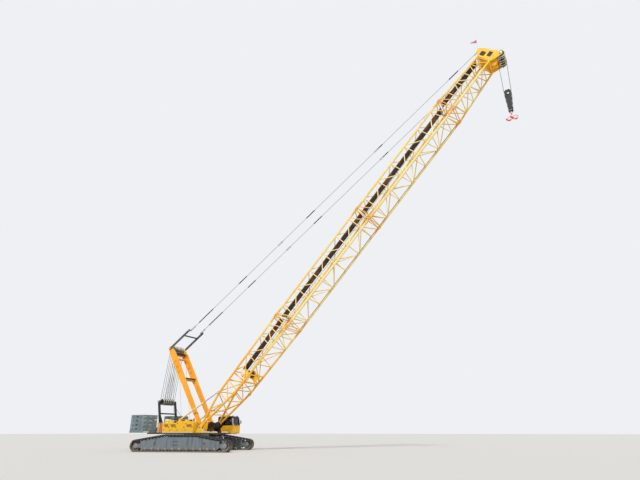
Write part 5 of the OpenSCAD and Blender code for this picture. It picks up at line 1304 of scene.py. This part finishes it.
def cones(starts, ends, near=0.088, far=0.118, wide=0.056, narrow=0.043, sides=8):
    """A short cone on each line: rings of radius wide at distance near and narrow at far from start.
    All are worked out at once: P = start + run · distance + radius · (side · cos a + up · sin a)."""
    run = (ends - starts) / np.linalg.norm(ends - starts, axis=1, keepdims=True)
    side = np.cross(np.where(np.abs(run[:, 1:2]) < 0.9, [[0, 1.0, 0]], [[0, 0, 1.0]]), run)
    side /= np.linalg.norm(side, axis=1, keepdims=True)
    ring = ring_round(side, np.cross(run, side), sides)
    rings = [(starts + run * d)[:, None] + ring * r for d, r in ((near, narrow), (near, wide), (far, narrow))]
    return joined([skinned(grid, "open") for grid in np.stack(rings, 1)])


sections = (butt_frames, level_frames(SECTION), level_frames(2 * SECTION), head_frames)
starts, ends = (np.vstack(rows) for rows in zip(*[lacing_ends(frames) for frames in sections]))
add("weld_beads", boom_cream_painted_sunlight, BOOM, cones(starts, ends), cones(ends, starts))

# %% [markdown]
# Each joint between two sections has eight pins. A pin shows a flat head outside and a spring clip
# inside, and the collars round the chords have two thin rings each. One pin and one ring are drawn
# at the origin and copied, which keeps all three joints alike.

# %% Section pins
CHORDS = [[side * HALF_W, up * HALF_D] for side in (-1, 1) for up in (-1, 1)]


def at_joints(shape, steps):
    """Copies on every chord at steps before and after each joint between two sections."""
    return copies(shape, [[SECTION * k + way * step, *chord] for k in (1, 2, 3) for way in (-1, 1)
                          for step in steps for chord in CHORDS])


pin = joined([lathe(mm("30 -10  56 0  56 16  20 22"), (0, 0.15, 0), 14),
              rim(circle(0, 0, 0.045, 12), 0.010, -0.165, -0.155)])
add("section_pins", galvanised, BOOM, at_joints(pin, [0.095]))
add("section_collars", boom_cream_painted_sunlight, BOOM,
    at_joints(rim(circle(0, 0, 0.126, 24), 0.012, -0.008, 0.008, "X"), [0.02, 0.135]))

# %% [markdown]
# The walkway's gratings have angle edges and cross bars, and a grating at the head falls with the
# upper chords. A power cable for the head is clamped along one lower chord. It is fixed all the way,
# so it is a plain tube and no loose cord.

# %% Walkway edges and the clamped cable
WALK_TOP, EDGE_Y = HALF_D - 0.042, 0.312
KNEE, BUTT_FALL, HEAD_FALL = np.array([11.88, 0, 0.79]), math.atan2(0.20, 8.6), 0.18 / 5.6


def edge(x0, x1, y, low, high):
    return block((x0, y - 0.012, low), (x1, y + 0.012, high), 0.005)


edges = [edge(SECTION * n + 0.14, SECTION * n + 11.86, y, WALK_TOP - 0.06, WALK_TOP + 0.03)
         for n in (1, 2) for y in (-EDGE_Y, EDGE_Y)]
edges += [carried(edge(6.12, 11.86, y, 0.735, 0.82), lambda v: tilted(v - KNEE, KNEE, BUTT_FALL))
          for y in (-EDGE_Y, EDGE_Y)]
bar = block((-0.012, -0.30, WALK_TOP), (0.012, 0.30, WALK_TOP + 0.008), 0.003, "Z")
bar_places = [[x, 0, 0] for n in (1, 2) for x in np.arange(SECTION * n + 0.5, SECTION * n + 11.8, 0.5)]
add("walkway_edges", walkway_brown, BOOM, *edges, copies(bar, bar_places))

head_deck = joined([block((36.14, -0.68, -0.030), (40.90, -0.10, 0.0), 0.01, "Z"),
                    *[edge(36.14, 40.90, y, -0.060, 0.028) for y in (-0.69, -0.09)]])
add("head_walkway", brown_grating, BOOM,
    carried(head_deck, lambda v: v + np.outer(HALF_D - 0.046 - HEAD_FALL * (v[:, 0] - 3 * SECTION), [0, 0, 1])))

add("boom_cable", rubber, BOOM, tube([[12.2, 1.035, -0.80], [35.8, 1.035, -0.80]], 0.016))
clip = block((-0.03, 0.99, -0.85), (0.03, 1.10, -0.76), 0.01)
add("cable_clips", galvanised, BOOM, copies(clip, [[x, 0, 0] for x in np.arange(13.0, 36, 2.0)]))

# %% [markdown]
# The winch in the boom has pale end plates with bolts. The head's plates have raised rims, dark
# bolted covers and rope keepers round the sheaves. The keepers stand just outside the sheaves' rims,
# at angles that the falls don't sweep when the boom luffs.

# %% Winch ends and head fittings
PLATE_Y = 0.888
add_pair("boom_winch_ends", bleached, BOOM,
         bolted_cap("100 -10  300 0  300 12  220 26  160 28  150 100  60 110",
                    (WINCH_X, 0.71, WINCH_Z), 28, 0.012, 0.26, 12, 0.014))
add_pair("shaft_caps", galvanised, BOOM,
         bolted_cap("70 0  115 0  115 18  50 30", (SHAFT_X, 0.92, SHAFT_Z), 24, 0.018, 0.092, 6, 0.011))
add("rope_keepers", deck_black, BOOM,
    *[rod(SHAFT_X + 0.40 * math.cos(a), SHAFT_Z + 0.40 * math.sin(a), 0.82, 0.018) for a in (0.50, 2.02, 3.9)])
HEAD_EDGE = mm("-680 41300  680 41350  975 41660  1080 41820  1050 42010  810 42140  -310 42400  -780 42500"
               " -1100 42400  -1140 42200")
add_pair("head_plate_rims", boom_cream_painted_sunlight, BOOM, rim(HEAD_EDGE, 0.02, 0.881, 0.887))
add_pair("head_covers", maroon_with_painted_shade, BOOM, block((41.48, 0.878, 0.15), (41.92, PLATE_Y, 0.62), 0.06),
         block((41.62, 0.878, -0.42), (42.12, PLATE_Y, -0.04), 0.06))
cover_bolts = ((41.53, 0.21), (41.87, 0.21), (41.53, 0.56), (41.87, 0.56), (41.67, -0.36), (42.07, -0.36))
add_pair("head_cover_bolts", galvanised, BOOM, bolts([[x, PLATE_Y, z] for x, z in cover_bolts], 0.013))

# %% [markdown]
# The mast's legs are box beams. Raised edge strips along them catch the light, black rubber blocks sit on the
# cross ties, rims edge the pockets in the legs, and two grease pipes run up one leg. The strips follow the same
# corner points as the leg's own outline.

# %% Mast fittings
LEG_EDGES = [mm("200 165  4300 215  5000 285  7600 285"), mm("200 -165  4300 -245  5000 -285  7600 -285")]
add_pair("mast_edges", mast_orange, MAST,
         *[tube([[x, y, z * 0.945] for x, z in edge], 0.016, 6) for y in (0.742, 0.958) for edge in LEG_EDGES])
add_pair("mast_pocket_rims", mast_orange, MAST,
         *[rim(round_corners(-0.15, 0.15, x, x + 0.38, 0.03), 0.016, y, y + 0.006)
           for x in (5.2, 5.8, 6.4) for y in (0.965, 0.729)])
add("mast_pads", rubber, MAST, block((4.585, -0.72, -0.235), (4.715, 0.72, -0.20), 0.02, "Z"),
    block((7.45, -0.70, -0.16), (7.72, 0.70, -0.121), 0.02, "Z"))
add("mast_pipes", galvanised, MAST,
    *[tube([[0.4, y, 0.19], [4.3, y, 0.235], [5.0, y, 0.292], [7.5, y, 0.292]], 0.011) for y in (0.82, 0.86)])
add_pair("mast_caps", galvanised, MAST,
         bolted_cap("60 0  100 0  100 16  40 26", (MAST_LENGTH, 1.025, 0), 22, 0.016, 0.078, 6))
add_pair("mast_foot_caps", galvanised, UPPER, lathe(mm("50 0  90 0  90 16  30 24"), (0.95, 0.985, 2.35), 20))

# %% [markdown]
# The heavy links and the long stays are joined by pins, with round heads on both sides of the stay's
# plates, and dark sleeves cover the swaged rope ends. The stays have a frame of their own, from the
# mast's head to the boom's head, so their pieces are drawn level as well.

# %% Pendant pins
STAY_TIP = on_boom([41.93, 0, 0.97])
stay_x, stay_z = (STAY_TIP - MAST_HEAD)[[0, 2]]
STAY_ANGLE, STAY_LENGTH = math.atan2(stay_z, stay_x), math.hypot(stay_x, stay_z)
STAYS = ("pendants", lambda v: tilted(v, MAST_HEAD, STAY_ANGLE))
STAY_Y, STAY_HEAD, LINK_LENGTH = 0.75, mm("20 0  50 0  50 14  30 24"), 2.75
SLEEVES = ((3.95, 6.0), (9.65, 10.75), (18.9, 20.0), (28.1, 28.8), (37.0, 38.1))
add_pair("stay_sleeves", deck_black, STAYS,
         *[lathe([[0.031, a], [0.048, a + 0.05], [0.048, b - 0.05], [0.031, b]], (0, STAY_Y, 0), 12, "X")
           for a, b in SLEEVES])
first, last = LINK_LENGTH + 0.05 + 0.34, STAY_LENGTH + 0.07 - 0.34
heads = joined([lathe(STAY_HEAD, (0, 0.028, 0), 14), lathe(STAY_HEAD * [1, -1], (0, -0.028, 0), 14)])
add("stay_pins", galvanised, STAYS,
    copies(heads, [[first + (last - first) * t + d, y, 0]
                   for t in (0, 0.33, 0.67, 1) for d in (-0.18, 0.18) for y in (-STAY_Y, STAY_Y)]))
LINK_EDGE = mm("100 60  100 2690  50 2790  -50 2790  -100 2690  -100 60  -40 -60  40 -60")
add_pair("link_caps", galvanised, STAYS, lathe(mm("50 0  80 0  80 14  30 22"), (LINK_LENGTH, 1.027, 0), 18),
         rim(LINK_EDGE, 0.014, 1.007, 1.012))
print("stay", round(STAY_LENGTH, 3), "m at", round(math.degrees(STAY_ANGLE), 2), "degrees")

# %% [markdown]
# The hook block hangs from four falls of rope. Its cheeks carry nuts, striped edge bands and a row of
# bolts. The hook turns in a nut below the block, and a spring latch closes each of its two throats.
# All are placed from the block's own box, so that they follow it if the falls get longer.

# %% Hook block and hook
HOOK_X, HOOK_TOP = HEAD_SHAFT[0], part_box("hook_block")[0][2]
BLOCK_Z = HOOK_TOP + 1.70
BLOCK, HOOK = ("hook_block", still), ("hook", still)
CHEEK = mm("430 -150  430 150  310 260  0 300  -500 260  -1580 190  -1700 120"
           "  -1700 -120  -1580 -190  -500 -260  0 -300  310 -260")
add_pair("block_bands", block_stripes, BLOCK,
         rim(CHEEK * [0.985, 0.95] + [BLOCK_Z, HOOK_X], 0.016, 0.209, 0.218))
add_pair("block_bolts", galvanised, BLOCK, lathe(mm("50 0  85 0  85 20  50 30"), (HOOK_X, 0.24, BLOCK_Z), 6),
         bolts([[HOOK_X + x, 0.211, BLOCK_Z + z]
                for z in (-0.56, -0.80, -1.04, -1.28) for x in (-0.14, 0.14)], 0.018))
add("block_guards", deck_black, BLOCK,
    *[rod(HOOK_X + x, BLOCK_Z + z, 0.20, 0.014)
      for x, z in ((-0.21, -0.27), (0.21, -0.27), (-0.10, 0.37), (0.10, 0.37))])
add("hook_nut", galvanised, HOOK,
    lathe(mm("70 0  120 0  125 -30  110 -50  75 -60"), (HOOK_X, 0, HOOK_TOP - 0.012), 8, "Z"))
latches = []
for side in (-1, 1):
    inner, outer = (HOOK_X + side * 0.14, HOOK_TOP - 0.47), (HOOK_X + side * 0.385, HOOK_TOP - 0.56)
    latches += [tube([[x, y, z] for x, z in (inner, outer)], 0.012) for y in (-0.035, 0.035)]
    latches += [rod(*inner, 0.06, 0.02, 10), rod(*outer, 0.045, 0.014, 10)]
add("hook_latches", galvanised, HOOK, *latches)

# %% [markdown]
# The falls are wire rope: six strands laid round a core. Each strand is a tube along a helix inside
# the CAD rope's own radius, and the core fills the middle, so the outline stays the CAD's. A bump
# could draw the lay, but these ropes are seen against the sky, where only the mesh shows.

# %% Laid rope of the falls
def helix(a, b, radius, turns, phase, steps):
    """P(t) = a + (b - a) · t + radius · (x · cos(turn) + y · sin(turn)), where the turn is
    phase + 2π · turns · t."""
    a, b = np.array([a, b])
    t = np.linspace(0, 1, steps)[:, None]
    angle = phase + 2 * np.pi * turns * t
    return a + (b - a) * t + radius * (np.cos(angle) * [1.0, 0, 0] + np.sin(angle) * [0, 1.0, 0])


FOOT_REACH, TIP_REACH = 0.2843, 0.3443    # how far the falls hang from the two shafts
falls = []
for y in (-ROPE_Y, ROPE_Y):
    for way in (-1, 1):
        foot = [HOOK_X + way * FOOT_REACH, y, BLOCK_Z + 0.02]
        tip = [HOOK_X + way * TIP_REACH, y, HEAD_SHAFT[2] - 0.02]
        falls += [tube(helix(foot, tip, 0.0088, 18, k * math.pi / 3, 150), 0.0052, 5) for k in range(6)]
        falls.append(tube([foot, tip], 0.006, 5))
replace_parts(add("laid_falls", wire_rope, BLOCK, *falls), "hook_falls")

# %% [markdown]
# A small plain pennant flies from the boom's head to show the wind. The cloth is a triangle whose
# waves keep every thread's length: where the cloth leans sideways it reaches less far along. That
# keeps its flat size true, which a plain sine added to a flat sheet would not. Its pole is turned,
# with a round knob.

# %% Pennant on its pole
POLE_FOOT = on_boom([41.92, -0.85, 1.06])
FLAG_LENGTH, FLAG_HEIGHT, TAPER = 0.62, 0.36, 0.985


def waving(length, height, m=60, n=14):
    """u runs from the pole to the tip, v from edge to edge. Slope of the wave s = 0.55 · sin(15u) ·
    (u/length)^0.6; sideways = sum of s, along = sum of sqrt(1 − s²), and
    z = v · half height · (1 − taper · u/length)."""
    u = np.linspace(0, length, m)
    slope = 0.55 * np.sin(15 * u) * (u / length) ** 0.6
    mean = (slope[1:] + slope[:-1]) / 2
    sideways, along = (np.concatenate([[0], np.cumsum(part * (u[1] - u[0]))])[:, None]
                       for part in (mean, np.sqrt(1 - mean ** 2)))
    z = np.linspace(-1, 1, n) * height / 2 * (1 - u / length * TAPER)[:, None]
    points = np.stack([-along + 0 * z, sideways + 0 * z, z], -1).reshape(-1, 3)
    return points, grid_quads(m - 1, n - 1, m, n)[:, [0, 3, 2, 1]], np.zeros((0, 3), int)


UPRIGHT = ("boom", lambda v: v + POLE_FOOT)
flag = add("pennant_cloth", pennant_red, UPRIGHT,
           carried(waving(FLAG_LENGTH, FLAG_HEIGHT), lambda v: v + [-0.02, 0, 0.94]))
skin = flag.modifiers.new("thickness", "SOLIDIFY")
skin.thickness, skin.offset = 0.0015, 0
rings = copies(lathe(mm("14 -12  23 -8  23 8  14 12"), (0, 0, 0), 14, "Z"), [[0, 0, 0.80], [0, 0, 1.06]])
pole = add("pennant_pole", galvanised, UPRIGHT,
           lathe(mm("16 80  16 1100  12 1105  20 1118  24 1134  20 1146  8 1150"), (0, 0, 0), 16, "Z"), rings)
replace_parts(pole, "pennant")
